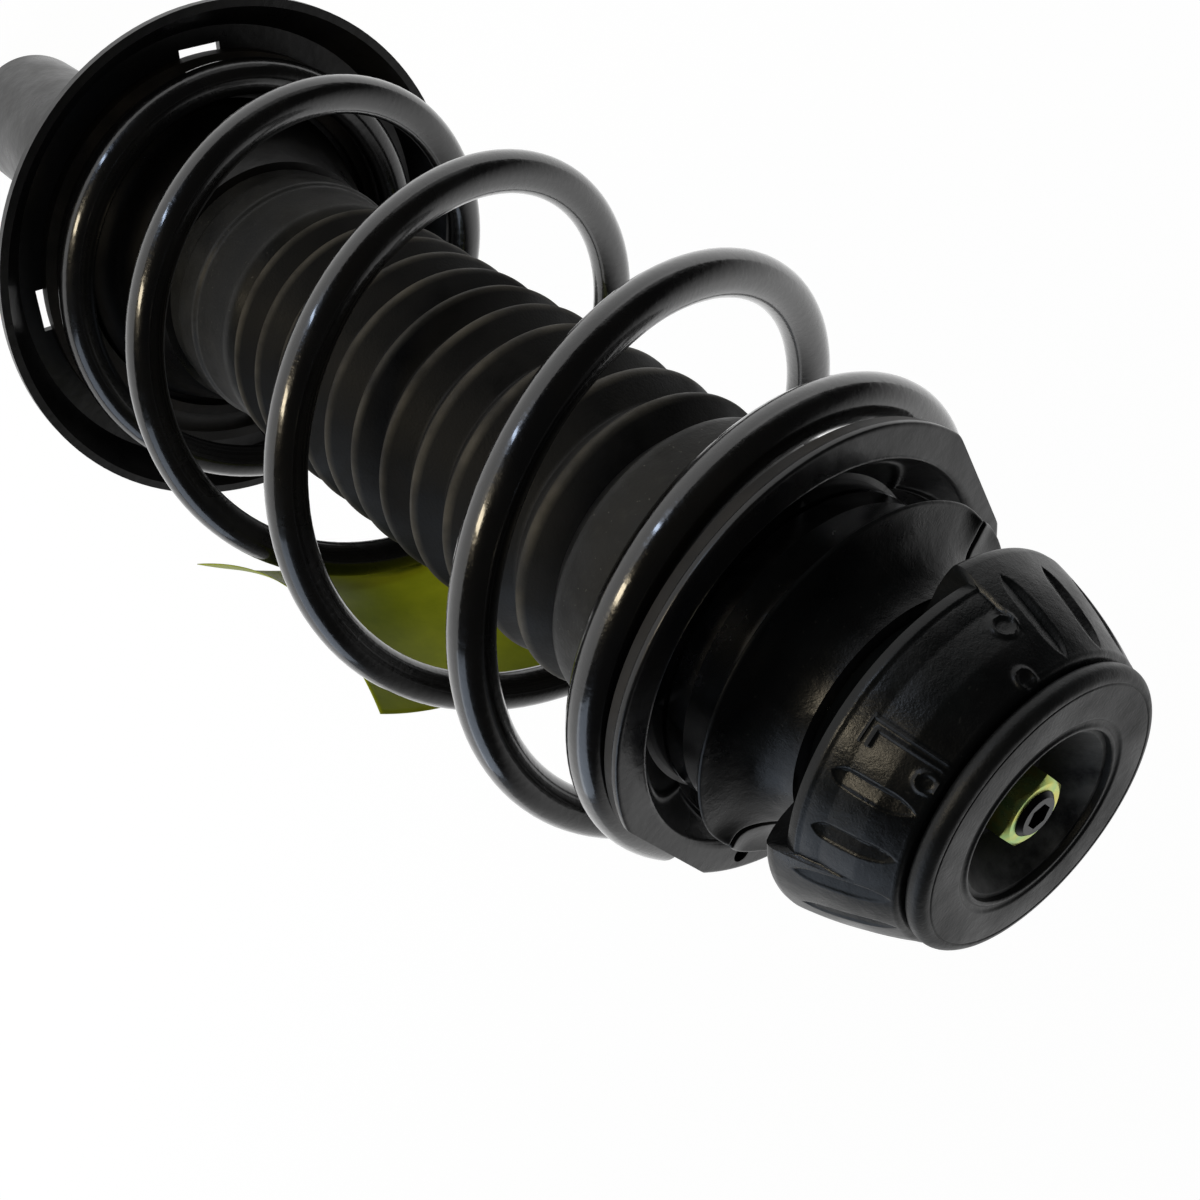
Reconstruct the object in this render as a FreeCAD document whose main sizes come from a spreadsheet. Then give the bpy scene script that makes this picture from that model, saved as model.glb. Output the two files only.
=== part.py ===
import FreeCAD, Part
import math
import os

import Sketcher

# Front suspension strut with its coil spring, dust boot and top mount.
# Millimetres. +Z is up along the strut, +X is the axis of the two knuckle bolts and +Y points to the knuckle.
# The origin is the middle of the knuckle slot, between the bracket's ears and between its two bolts.

document = FreeCAD.newDocument("strut_assembly")
sheet = document.addObject("Spreadsheet::Sheet", "Sizes")


class Size:
    """A length or count: its value, and the sheet formula that gives it."""

    def __init__(self, value, formula):
        self.value = value
        self.formula = formula

    def combined(self, other, sign):
        """Joins this size and another, or a plain number, with + - * or /."""
        if not isinstance(other, Size):
            other = Size(other, repr(other))
        value = {
            "+": lambda: self.value + other.value,
            "-": lambda: self.value - other.value,
            "*": lambda: self.value * other.value,
            "/": lambda: self.value / other.value,
        }[sign]()
        return Size(value, f"({self.formula} {sign} {other.formula})")

    def __add__(self, other):
        return self.combined(other, "+")

    def __sub__(self, other):
        return self.combined(other, "-")

    def __mul__(self, other):
        return self.combined(other, "*")

    def __truediv__(self, other):
        return self.combined(other, "/")

    def __neg__(self):
        return Size(-self.value, f"(-1 * {self.formula})")


row_count = 0


def size(alias, value):
    """Writes one driving dimension in the sheet under its alias, and returns it."""
    global row_count
    row_count += 1
    cell = f"A{row_count}"
    sheet.set(cell, str(value))
    sheet.setAlias(cell, alias)
    return Size(value, f"Sizes.{alias}")


NONE = Size(0, "0")


def root(squared):
    """The square root of a size."""
    return Size(math.sqrt(squared.value), f"sqrt({squared.formula})")


def polar(radius, angle):
    """The corner at a radius and an angle in degrees."""
    turn = math.radians(angle.value)
    across = Size(radius.value * math.cos(turn), f"({radius.formula} * cos({angle.formula} * 1 deg))")
    up = Size(radius.value * math.sin(turn), f"({radius.formula} * sin({angle.formula} * 1 deg))")
    return across, up


# Clearances
press_fit = size("pressFit", 0.05)          # nested pieces of one body
running_fit = size("runningFit", 0.03)      # rod in its bush, balls in their races
soft_gap = size("softGap", 0.3)             # soft or moving faces that only lie side by side

# Damper tube, in the lower half
axis_offset = size("axisOffset", 52)        # strut axis behind the knuckle slot
foot_drop = size("footDrop", 60)            # tube's foot below the knuckle slot
tube_length = size("tubeLength", 302)
tube_radius = size("tubeRadius", 25.5)
tube_wall = size("tubeWall", 2.5)
cup_height = size("cupHeight", 9)
cup_wall = size("cupWall", 4)
cup_bevel = size("cupBevel", 2)
inner_radius = size("innerTubeRadius", 16.5)
inner_wall = size("innerTubeWall", 1.5)
valve_height = size("valveHeight", 12)
valve_flange = size("valveFlange", 4)
valve_port_radius = size("valvePortRadius", 1.3)
valve_port_circle = size("valvePortCircle", 9)
valve_port_count = size("valvePortCount", 6)
guide_height = size("guideHeight", 18)
guide_spigot = size("guideSpigot", 7)
guide_floor = size("guideFloor", 3)
bush_wall = size("bushWall", 1.5)
seal_height = size("sealHeight", 4)
seal_recess_radius = size("sealRecessRadius", 19)
cap_height = size("capHeight", 14)
cap_wall = size("capWall", 2)
cap_bore_gap = size("capBoreGap", 0.8)

# Piston rod and piston
rod_radius = size("rodRadius", 10)
stud_radius = size("studRadius", 6)
rod_chamfer = size("rodChamfer", 1)
socket_across_flats = size("socketAcrossFlats", 6)
socket_depth = size("socketDepth", 7)
stud_show = size("studShow", 1.2)           # stud above the nut's face
piston_height = size("pistonHeight", 18)
piston_gap = size("pistonGap", 0.9)
piston_stud_radius = size("pistonStudRadius", 5)
piston_drop = size("pistonDrop", 22)        # piston's top below the rebound stop's foot
band_height = size("bandHeight", 9)
piston_nut_height = size("pistonNutHeight", 8)
piston_nut_flats = size("pistonNutFlats", 17)
piston_tail = size("pistonTail", 2)         # stud below the piston's nut
band_seat_depth = size("bandSeatDepth", 1.1)
stop_height = size("reboundStopHeight", 8)
stop_radius = size("reboundStopRadius", 13.5)

# Bump stop
bump_length = size("bumpStopLength", 66)
bump_radius = size("bumpStopRadius", 19)
bump_tip_radius = size("bumpStopTipRadius", 14)
bump_groove_depth = size("bumpStopGrooveDepth", 3.5)
bump_lobes = size("bumpStopLobes", 3)

# Coil spring
wire_radius = size("wireRadius", 6.25)
coil_radius = size("coilRadius", 76.5)
upper_end_radius = size("upperEndRadius", 60)     # the end coil under the plate is drawn in
lower_end_radius = size("lowerEndRadius", 68.5)
spring_height = size("springHeight", 297)   # between the two wire ends
coil_turns = size("coilTurns", 4.9)
flat_turns = size("flatTurns", 0.885)       # of each end coil, before the wire leaves its seat
leaving_softness = size("leavingSoftness", 0.296)
widening_rate = size("wideningRate", 2.1)   # how soon the wire is out at the coil radius
coil_start_angle = size("coilStartAngle", 8.6)

# Lower spring seat, welded to the tube
seat_height = size("seatHeight", 149)       # its pan above the knuckle slot
seat_wall = size("seatWall", 3)
seat_deck_lift = size("seatDeckLift", 38)
seat_deck_radius = size("seatDeckRadius", 46)
seat_pan_inner = size("seatPanInner", 59)
seat_pan_outer = size("seatPanOuter", 86)
seat_rim_radius = size("seatRimRadius", 96)
seat_rim_lift = size("seatRimLift", 13)
seat_hub_length = size("seatHubLength", 16)
seat_hub_wall = size("seatHubWall", 3)
seat_slot_width = size("seatSlotWidth", 9)
seat_slot_length = size("seatSlotLength", 16)
seat_slot_circle = size("seatSlotCircle", 74)
seat_slot_count = size("seatSlotCount", 4)
lower_pad_thickness = size("lowerPadThickness", 3.75)
pad_groove_depth = size("padGrooveDepth", 1.2)
pad_overhang = size("padOverhang", 1.5)     # rubber beyond the wire on each side

# Upper spring seat and its rubber
plate_radius = size("plateRadius", 64.2)
plate_wall = size("plateWall", 2.5)
plate_flat_distance = size("plateFlatDistance", 60.6)
plate_ledge_radius = size("plateLedgeRadius", 56.5)
plate_floor_radius = size("plateFloorRadius", 47)
plate_floor_drop = size("plateFloorDrop", 13.6)
plate_hole_radius = size("plateHoleRadius", 2.6)
plate_hole_circle = size("plateHoleCircle", 59)
plate_rim_round = size("plateRimRound", 1)
plate_neck_radius = size("plateNeckRadius", 24)
plate_neck_drop = size("plateNeckDrop", 12)
upper_pad_thickness = size("upperPadThickness", 2.8)
upper_pad_radius = size("upperPadRadius", 63.6)
upper_pad_inner = size("upperPadInner", 55.6)

# Steering bearing under the mount
bearing_height = size("bearingHeight", 13.5)
bearing_outer_radius = size("bearingOuterRadius", 44)
bearing_inner_radius = size("bearingInnerRadius", 26)
ball_radius = size("ballRadius", 3)
ball_circle = size("ballCircle", 35)
ball_count = size("ballCount", 24)
race_gap = size("raceGap", 1.6)
cage_thickness = size("cageThickness", 1)
cage_width = size("cageWidth", 12)

# Top mount
core_flange_radius = size("coreFlangeRadius", 28)
core_flange_wall = size("coreFlangeWall", 3)
core_height = size("coreHeight", 53.5)
core_radius = size("coreRadius", 11)
washer_radius = size("washerRadius", 17)
washer_thickness = size("washerThickness", 3)
neck_radius = size("mountNeckRadius", 28.5)
shoulder_lift = size("mountShoulderLift", 26)
shoulder_bend = size("mountShoulderBend", 20)
crown_bend = size("mountCrownBend", 40)
shoulder_radius = size("mountShoulderRadius", 42)
barrel_radius = size("mountBarrelRadius", 48)
barrel_lift = size("mountBarrelLift", 38)
barrel_band = size("mountBarrelBand", 7)
crown_radius = size("mountCrownRadius", 38.5)
crown_lift = size("mountCrownLift", 62)
well_radius = size("mountWellRadius", 25)
well_gap = size("mountWellGap", 2.5)        # under the dish of the rebound disc
flute_count = size("fluteCount", 8)         # in each of the two fluted sectors
flute_pitch = size("flutePitch", 14.25)     # degrees
flute_start = size("fluteStart", -65)       # degrees, first flute of the first sector
flute_length = size("fluteLength", 24)
flute_width = size("fluteWidth", 6)
flute_depth = size("fluteDepth", 2.2)
flute_proud = size("fluteProud", 1.2)       # the flute's middle beyond the straight slope of the cone
collar_lift = size("collarLift", 13.2)      # lip of the collar above the mount's foot
collar_lip_radius = size("collarLipRadius", 50.7)
collar_waist_radius = size("collarWaistRadius", 33.5)
collar_sweep_radius = size("collarSweepRadius", 16)
collar_under_bend = size("collarUnderBend", 35)
collar_sleeve_wall = size("collarSleeveWall", 2)
collar_sleeve_drop = size("collarSleeveDrop", 12)
collar_lip_wall = size("collarLipWall", 1.2)

# Rebound disc and nut
disc_radius = size("discRadius", 37.5)
disc_face_radius = size("discFaceRadius", 34.8)
disc_wall = size("discWall", 2.5)
disc_rubber = size("discRubber", 1.6)
disc_lip = size("discLip", 3)               # rubber turned under the rim
disc_lip_wall = size("discLipWall", 1)
dish_mouth_radius = size("dishMouthRadius", 22.6)
dish_floor_radius = size("dishFloorRadius", 14)
dish_depth = size("dishDepth", 12)
nut_across_flats = size("nutAcrossFlats", 17)
nut_height = size("nutHeight", 10)
nut_chamfer = size("nutChamfer", 1.2)

# Knuckle bracket and the two small brackets on the tube
bracket_height = size("bracketHeight", 104)
bracket_wall = size("bracketWall", 4.5)
slot_width = size("slotWidth", 28)
ear_reach = size("earReach", 22)
ear_corner = size("earCorner", 15)
bolt_spacing = size("boltSpacing", 56)
bolt_hole_radius = size("boltHoleRadius", 7.1)
link_plate_lift = size("linkPlateLift", 92)
link_plate_height = size("linkPlateHeight", 46)
link_plate_wall = size("linkPlateWall", 5)
link_plate_reach = size("linkPlateReach", 24)
link_hole_radius = size("linkHoleRadius", 5.2)
link_nose_radius = size("linkNoseRadius", 13)
clip_lift = size("hoseClipLift", 88)
clip_reach = size("hoseClipReach", 26)
clip_width = size("hoseClipWidth", 22)
clip_wall = size("hoseClipWall", 2.5)
clip_hole_radius = size("hoseClipHoleRadius", 6)

# Dust boot
boot_crest_radius = size("bootCrestRadius", 45)
boot_valley_radius = size("bootValleyRadius", 38.5)
boot_wall = size("bootWall", 1.6)
boot_pleats = size("bootPleats", 12)
boot_pitch_growth = size("bootPitchGrowth", 0.4)
boot_upper_cuff = size("bootUpperCuff", 32) # above the first crest
boot_crest_width = size("bootCrestWidth", 3)
boot_cuff_radius = size("bootCuffRadius", 41)
boot_lower_cuff = size("bootLowerCuff", 54) # below the last crest
boot_lower_radius = size("bootLowerRadius", 43.5)
boot_neck_wall = size("bootNeckWall", 2.5)

# Paper tag, curled round the spring's side
tag_length = size("tagLength", 98)
tag_thickness = size("tagThickness", 0.8)
tag_start_angle = size("tagStartAngle", 54) # the edge that lies on the coil
tag_end_angle = size("tagEndAngle", 7)
tag_end_radius = size("tagEndRadius", 102)
tag_curl_radius = size("tagCurlRadius", 75)
tag_height = size("tagHeight", 222)

document.recompute()

# Heights above the knuckle slot, from the lower seat up
lower_wire_height = seat_height + lower_pad_thickness + soft_gap + wire_radius
upper_wire_height = lower_wire_height + spring_height
plate_height = upper_wire_height + wire_radius + soft_gap + upper_pad_thickness
plate_floor_height = plate_height + plate_wall - plate_floor_drop
mount_height = plate_floor_height + bearing_height
nut_seat_height = mount_height + core_height + disc_wall
nut_top_height = nut_seat_height + nut_height
tube_top = tube_length - foot_drop
guide_base = tube_top - guide_height
stop_base = guide_base - guide_spigot - soft_gap - stop_height
piston_top = stop_base - piston_drop
inner_base = cup_wall + valve_flange - foot_drop
rod_shoulder = mount_height - washer_thickness

made = []
WHOLE_TURN = 360
PLATE_FLAT_ANGLES = (169, -4)       # degrees about the strut, of the plate's two trimmed edges
PLATE_HOLE_ANGLE = 26
SEAT_SLOT_ANGLE = 46
BEVEL_SLOPE = math.tan(math.radians(30))
ARCS_PER_TURN = 4                   # pairs of arcs in each turn of the wire


def plane_of(body, role):
    """The body's own origin plane or axis with this role."""
    return [item for item in body.Origin.OriginFeatures if item.Role == role][0]


def held(sketch, edge, end, corner):
    """Holds one end of an edge at a corner (across, up), bound to the sheet."""
    for direction, axis, distance in (("X", -2, corner[0]), ("Y", -1, corner[1])):
        kind = "Distance" + direction
        if abs(distance.value) < 1e-9:
            sketch.addConstraint(Sketcher.Constraint("PointOnObject", edge, end, axis))
        elif distance.value > 0:
            index = sketch.addConstraint(Sketcher.Constraint(kind, -1, 1, edge, end, distance.value))
            sketch.setExpression(f"Constraints[{index}]", distance.formula)
        else:
            index = sketch.addConstraint(Sketcher.Constraint(kind, edge, end, -1, 1, -distance.value))
            sketch.setExpression(f"Constraints[{index}]", (-distance).formula)


def bent_edge(start, end, bend):
    """An arc between two points that swells to the left of the way from start to end for a positive bend
    radius, else to the right. It runs anticlockwise, so from end to start where it swells to the left."""
    along = (end - start).normalize()
    left = FreeCAD.Vector(-along.y, along.x, 0)
    half = start.distanceToPoint(end) / 2
    sideways = math.copysign(math.sqrt(bend * bend - half * half), bend)
    centre = (start + end) * 0.5 - left * sideways
    first, last = (end - centre, start - centre) if bend > 0 else (start - centre, end - centre)
    first_angle = math.atan2(first.y, first.x)
    last_angle = math.atan2(last.y, last.x)
    if last_angle < first_angle:
        last_angle += 2 * math.pi
    circle = Part.Circle(centre, FreeCAD.Vector(0, 0, 1), abs(bend))
    return Part.ArcOfCircle(circle, first_angle, last_angle)


def sketched(body, role, name, turn=0, lift=NONE):
    """An empty sketch on one of the body's planes, turned in it and lifted off it."""
    sketch = body.newObject("Sketcher::SketchObject", name)
    sketch.AttachmentSupport = (plane_of(body, role), [""])
    sketch.MapMode = "FlatFace"
    sketch.AttachmentOffset = FreeCAD.Placement(
        FreeCAD.Vector(0, 0, lift.value), FreeCAD.Rotation(FreeCAD.Vector(0, 0, 1), turn))
    if lift is not NONE:
        sketch.setExpression("AttachmentOffset.Base.z", lift.formula)
    return sketch


def outline(body, role, corners, name, turn=0, lift=NONE):
    """A closed sketch through corners (across, up), with straight edges or, where a corner has a third
    value, a bend of that radius from it to the next corner."""
    sketch = sketched(body, role, name, turn, lift)
    corners = [[entry if isinstance(entry, Size) else Size(entry, repr(entry)) for entry in corner]
               for corner in corners]
    points = [FreeCAD.Vector(corner[0].value, corner[1].value, 0) for corner in corners]
    first_end = []
    for index, corner in enumerate(corners):
        start = points[index]
        end = points[(index + 1) % len(points)]
        if len(corner) == 2:
            sketch.addGeometry(Part.LineSegment(start, end))
            first_end.append(1)
        else:
            sketch.addGeometry(bent_edge(start, end, corner[2].value))
            first_end.append(2 if corner[2].value > 0 else 1)
    for index, corner in enumerate(corners):
        following = (index + 1) % len(corners)
        last_end = 3 - first_end[index]
        sketch.addConstraint(
            Sketcher.Constraint("Coincident", index, last_end, following, first_end[following]))
        held(sketch, index, first_end[index], corner)
        if len(corner) == 3:
            bend = corner[2] if corner[2].value > 0 else -corner[2]
            constraint = sketch.addConstraint(Sketcher.Constraint("Radius", index, bend.value))
            sketch.setExpression(f"Constraints[{constraint}]", bend.formula)
    return sketch


def circles(body, role, places, radius, name, turn=0, lift=NONE):
    """A sketch of equal circles at the given centres (across, up)."""
    sketch = sketched(body, role, name, turn, lift)
    for index, (across, up) in enumerate(places):
        centre = FreeCAD.Vector(across.value, up.value, 0)
        sketch.addGeometry(Part.Circle(centre, FreeCAD.Vector(0, 0, 1), radius.value))
        held(sketch, index, 3, (across, up))
        constraint = sketch.addConstraint(Sketcher.Constraint("Radius", index, radius.value))
        sketch.setExpression(f"Constraints[{constraint}]", radius.formula)
    return sketch


def hexagon(body, across_flats, name, lift=NONE):
    """A hexagon's sketch on the body's XY plane, with two of its corners along Y."""
    flat = across_flats / 2
    corner = across_flats / math.sqrt(3)
    corners = [(flat, corner / -2), (flat, corner / 2), (NONE, corner),
               (-flat, corner / 2), (-flat, corner / -2), (NONE, -corner)]
    return outline(body, "XY_Plane", corners, name, lift=lift)


def new_body(label, height):
    """An empty body on the strut's axis, at a height above the knuckle slot."""
    body = document.addObject("PartDesign::Body", label)
    body.Label = label
    body.setExpression("Placement.Base.y", (-axis_offset).formula)
    body.setExpression("Placement.Base.z", height.formula)
    made.append(body)
    return body


def revolve(body, corners):
    """Turns a profile of corners (radius, height) about the body's axis."""
    profile = outline(body, "XZ_Plane", corners, "profile")
    turned = body.newObject("PartDesign::Revolution", "turned")
    turned.Profile = profile
    turned.ReferenceAxis = (profile, ["V_Axis"])
    turned.Angle = WHOLE_TURN
    document.recompute()
    return turned


def turned_body(label, height, corners):
    """A body turned from one profile."""
    body = new_body(label, height)
    revolve(body, corners)
    return body


def ring(label, height, inner, outer, length):
    """A plain ring or sleeve."""
    return turned_body(label, height, [(inner, NONE), (outer, NONE), (outer, length), (inner, length)])


def pad(body, sketch, length, both_ways=False):
    """Extends a sketch into a solid."""
    feature = body.newObject("PartDesign::Pad", "pad")
    feature.Profile = sketch
    feature.setExpression("Length", length.formula)
    feature.Midplane = both_ways
    document.recompute()
    return feature


def volume_of(body):
    """The body's volume as modelled so far."""
    document.recompute()
    return body.Tip.Shape.Volume


def cut(body, sketch, depth=None, both_ways=False, backwards=False):
    """Pockets a sketch into the body, all the way through unless a depth is given."""
    before = volume_of(body)
    feature = body.newObject("PartDesign::Pocket", "pocket")
    feature.Profile = sketch
    feature.Midplane = both_ways
    feature.Reversed = backwards
    if depth is None:
        feature.Type = "ThroughAll"
    else:
        feature.setExpression("Length", depth.formula)
    if volume_of(body) >= before - 1e-6:
        raise ValueError(f"{sketch.Label} of {body.Label} cuts nothing")
    return feature


def repeated(body, feature, count, angle=WHOLE_TURN):
    """Repeats a feature about the body's axis, count times over an angle."""
    before = volume_of(body)
    pattern = body.newObject("PartDesign::PolarPattern", "pattern")
    pattern.Originals = [feature]
    pattern.Axis = (plane_of(body, "Z_Axis"), [""])
    pattern.Angle = angle
    pattern.Occurrences = int(count.value)
    pattern.setExpression("Occurrences", count.formula)
    body.Tip = pattern
    if abs(volume_of(body) - before) < 1e-6:
        raise ValueError(f"the pattern of {body.Label} adds nothing")
    return pattern


def edges_where(body, test):
    """The names of the body's edges that pass a test."""
    document.recompute()
    return [f"Edge{index + 1}" for index, edge in enumerate(body.Tip.Shape.Edges) if test(edge)]


def fillet(body, names, radius):
    """Rounds the named edges."""
    base = body.Tip
    feature = body.newObject("PartDesign::Fillet", "round")
    feature.Base = (base, names)
    feature.setExpression("Radius", radius.formula)
    document.recompute()
    return feature


def damper_tube():
    """The outer tube with its base cup, valve, inner tube, rod guide, bush, seal and cap."""
    bore = tube_radius - tube_wall
    fitted = bore - press_fit
    inner_bore = inner_radius - inner_wall
    ring("reservoir_tube", -foot_drop, bore, tube_radius, tube_length)

    turned_body("base_cup", -foot_drop, [
        (NONE, NONE),
        (fitted - cup_bevel, NONE),
        (fitted, cup_bevel),
        (fitted, cup_height),
        (fitted - cup_wall, cup_height),
        (fitted - cup_wall, cup_wall),
        (NONE, cup_wall),
    ])

    valve = turned_body("base_valve", cup_wall - foot_drop, [
        (NONE, NONE),
        (inner_radius, NONE),
        (inner_radius, valve_flange),
        (inner_bore - press_fit, valve_flange),
        (inner_bore - press_fit, valve_height),
        (NONE, valve_height),
    ])
    port = circles(valve, "XY_Plane", [(valve_port_circle, NONE)], valve_port_radius, "port")
    repeated(valve, cut(valve, port, backwards=True), valve_port_count)

    ring("pressure_tube", inner_base, inner_bore, inner_radius, guide_base - inner_base)

    bush_bore = rod_radius + running_fit
    bush_outside = bush_bore + bush_wall
    turned_body("rod_guide", guide_base, [
        (bush_outside + press_fit, -guide_spigot),
        (inner_bore - press_fit, -guide_spigot),
        (inner_bore - press_fit, NONE),
        (fitted, NONE),
        (fitted, guide_height),
        (seal_recess_radius, guide_height),
        (seal_recess_radius, guide_height - seal_height),
        (bush_outside + press_fit, guide_height - seal_height),
    ])
    ring("guide_bush", guide_base - guide_spigot + guide_floor, bush_bore, bush_outside,
         guide_height - seal_height + guide_spigot - guide_floor * 2)
    seal_outside = seal_recess_radius - press_fit
    lip = seal_height / 3
    turned_body("rod_seal", tube_top - seal_height, [
        (bush_bore, NONE),
        (seal_outside, NONE),
        (seal_outside, seal_height),
        (bush_bore + lip * 2, seal_height),
        (bush_bore + lip, seal_height - lip),
        (bush_bore, seal_height),
    ])
    skirt = tube_radius + press_fit
    turned_body("top_cap", tube_top + cap_wall - cap_height, [
        (skirt, NONE),
        (skirt + cap_wall, NONE),
        (skirt + cap_wall, cap_height),
        (rod_radius + cap_bore_gap, cap_height),
        (rod_radius + cap_bore_gap, cap_height - cap_wall),
        (skirt, cap_height - cap_wall),
    ])


def piston_and_rod():
    """The rod with its threaded top, the piston on its foot and the stops that ride on it."""
    foot = piston_tail + piston_nut_height + piston_height
    base = piston_top - foot
    shoulder = rod_shoulder - base
    length = nut_top_height + stud_show - base
    rod = turned_body("piston_rod", base, [
        (NONE, NONE),
        (piston_stud_radius, NONE),
        (piston_stud_radius, foot),
        (rod_radius, foot),
        (rod_radius, shoulder - rod_chamfer),
        (rod_radius - rod_chamfer, shoulder),
        (stud_radius, shoulder),
        (stud_radius, length - rod_chamfer),
        (stud_radius - rod_chamfer, length),
        (NONE, length),
    ])
    cut(rod, hexagon(rod, socket_across_flats, "socket", lift=length), socket_depth)

    bore = inner_radius - inner_wall
    piston_radius = bore - piston_gap
    band_seat = piston_radius - band_seat_depth
    band_base = (piston_height - band_height) / 2
    piston_bore = piston_stud_radius + press_fit
    piston = turned_body("piston", piston_top - piston_height, [
        (piston_bore, NONE),
        (piston_radius, NONE),
        (piston_radius, band_base),
        (band_seat, band_base),
        (band_seat, band_base + band_height),
        (piston_radius, band_base + band_height),
        (piston_radius, piston_height),
        (piston_bore, piston_height),
    ])
    port = circles(piston, "XY_Plane", [(valve_port_circle, NONE)], valve_port_radius, "port")
    repeated(piston, cut(piston, port, backwards=True), valve_port_count)
    ring("piston_band", piston_top - piston_height + band_base, band_seat + press_fit,
         bore - running_fit, band_height)

    nut = new_body("piston_nut", piston_top - piston_height - piston_nut_height)
    pad(nut, hexagon(nut, piston_nut_flats, "hexagon"), piston_nut_height)
    hole = circles(nut, "XY_Plane", [(NONE, NONE)], piston_bore, "hole")
    cut(nut, hole, backwards=True)
    ring("rebound_stop", stop_base, rod_radius + press_fit, stop_radius, stop_height)


def bump_stop():
    """Foam stop on the rod under the mount, in lobes that shrink towards its tip."""
    lobes = int(bump_lobes.value)
    bore = rod_radius + soft_gap
    corners = [(bore, NONE), (bump_tip_radius, NONE)]
    for lobe in range(1, lobes + 1):
        radius = bump_tip_radius + (bump_radius - bump_tip_radius) * lobe / lobes
        groove = bump_length * lobe / (lobes + 1)
        corners += [(radius, groove - bump_groove_depth), (radius - bump_groove_depth, groove),
                    (radius, groove + bump_groove_depth)]
    corners += [(bump_radius, bump_length), (bore, bump_length)]
    turned_body("bump_stop", rod_shoulder - bump_length, corners)


def lower_seat():
    """The pressed dish that carries the spring, the dome that holds it on the tube, and its rubber pad."""
    deck = seat_deck_lift
    hub = tube_radius + press_fit
    turned_body("lower_seat_dome", seat_height, [
        (hub, deck - seat_hub_length),
        (hub + seat_hub_wall, deck - seat_hub_length),
        (hub + seat_hub_wall, deck - seat_wall),
        (seat_deck_radius - seat_wall, deck - seat_wall),
        (seat_pan_inner - seat_wall, NONE),
        (seat_pan_inner, NONE),
        (seat_deck_radius, deck),
        (hub, deck),
    ])
    rim_inner = seat_rim_radius - seat_wall
    seat = turned_body("lower_spring_seat", seat_height, [
        (seat_pan_inner - seat_wall, -seat_wall),
        (seat_pan_outer, -seat_wall),
        (seat_rim_radius, seat_rim_lift - seat_wall),
        (seat_rim_radius, seat_rim_lift),
        (rim_inner, seat_rim_lift),
        (seat_pan_outer - seat_wall / 2, NONE),
        (seat_pan_inner - seat_wall, NONE),
    ])
    inner = seat_slot_circle - seat_slot_width / 2
    outer = seat_slot_circle + seat_slot_width / 2
    half = seat_slot_length / 2
    slot = outline(seat, "XY_Plane", [(inner, -half), (outer, -half), (outer, half), (inner, half)],
                   "drain_slot", turn=SEAT_SLOT_ANGLE)
    repeated(seat, cut(seat, slot, both_ways=True), seat_slot_count)

    grip = wire_radius + soft_gap
    mouth = root(grip * grip - (grip - pad_groove_depth) * (grip - pad_groove_depth))
    edge = lower_pad_thickness + pad_groove_depth
    pad_inner = lower_end_radius - wire_radius - pad_overhang
    pad_outer = lower_end_radius + wire_radius + pad_overhang
    turned_body("lower_isolator", seat_height, [
        (pad_inner, NONE),
        (pad_outer, NONE),
        (pad_outer, edge),
        (lower_end_radius + mouth, edge, grip),
        (lower_end_radius - mouth, edge),
        (pad_inner, edge),
    ])


def trim_flats(body):
    """Trims two edges of the plate, or of the pad under it, straight."""
    reach = plate_radius + plate_wall
    for angle in PLATE_FLAT_ANGLES:
        corners = [(plate_flat_distance, -reach), (reach, -reach), (reach, reach),
                   (plate_flat_distance, reach)]
        cut(body, outline(body, "XY_Plane", corners, "flat", turn=angle), both_ways=True)


def upper_seat():
    """The steel plate on the spring, with its trimmed edges, its well for the bearing and its pad."""
    floor = -plate_floor_drop
    neck = plate_neck_radius
    seat = turned_body("upper_spring_seat", plate_height, [
        (neck, floor - plate_neck_drop),
        (neck + plate_wall, floor - plate_neck_drop),
        (neck + plate_wall, floor),
        (plate_floor_radius - plate_wall / 2, floor),
        (plate_ledge_radius - plate_wall / 2, NONE),
        (plate_radius, NONE),
        (plate_radius, plate_wall),
        (plate_ledge_radius, plate_wall),
        (plate_floor_radius, floor + plate_wall),
        (neck, floor + plate_wall),
    ])
    rim = edges_where(seat, lambda edge: edge.BoundBox.XMax > plate_radius.value - 0.01
                      and edge.BoundBox.ZMin > plate_wall.value - 0.01)
    fillet(seat, rim, plate_rim_round)
    trim_flats(seat)
    hole = circles(seat, "XY_Plane", [(plate_hole_circle, NONE)], plate_hole_radius, "hole",
                   turn=PLATE_HOLE_ANGLE)
    cut(seat, hole, both_ways=True)

    grip = wire_radius + soft_gap
    mouth = root(grip * grip - (grip - pad_groove_depth) * (grip - pad_groove_depth))
    trim_flats(turned_body("upper_isolator", plate_height - upper_pad_thickness, [
        (upper_pad_inner, -pad_groove_depth),
        (upper_end_radius - mouth, -pad_groove_depth, grip),
        (upper_end_radius, NONE),
        (upper_pad_radius, NONE),
        (upper_pad_radius, upper_pad_thickness),
        (upper_pad_inner, upper_pad_thickness),
    ]))


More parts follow.
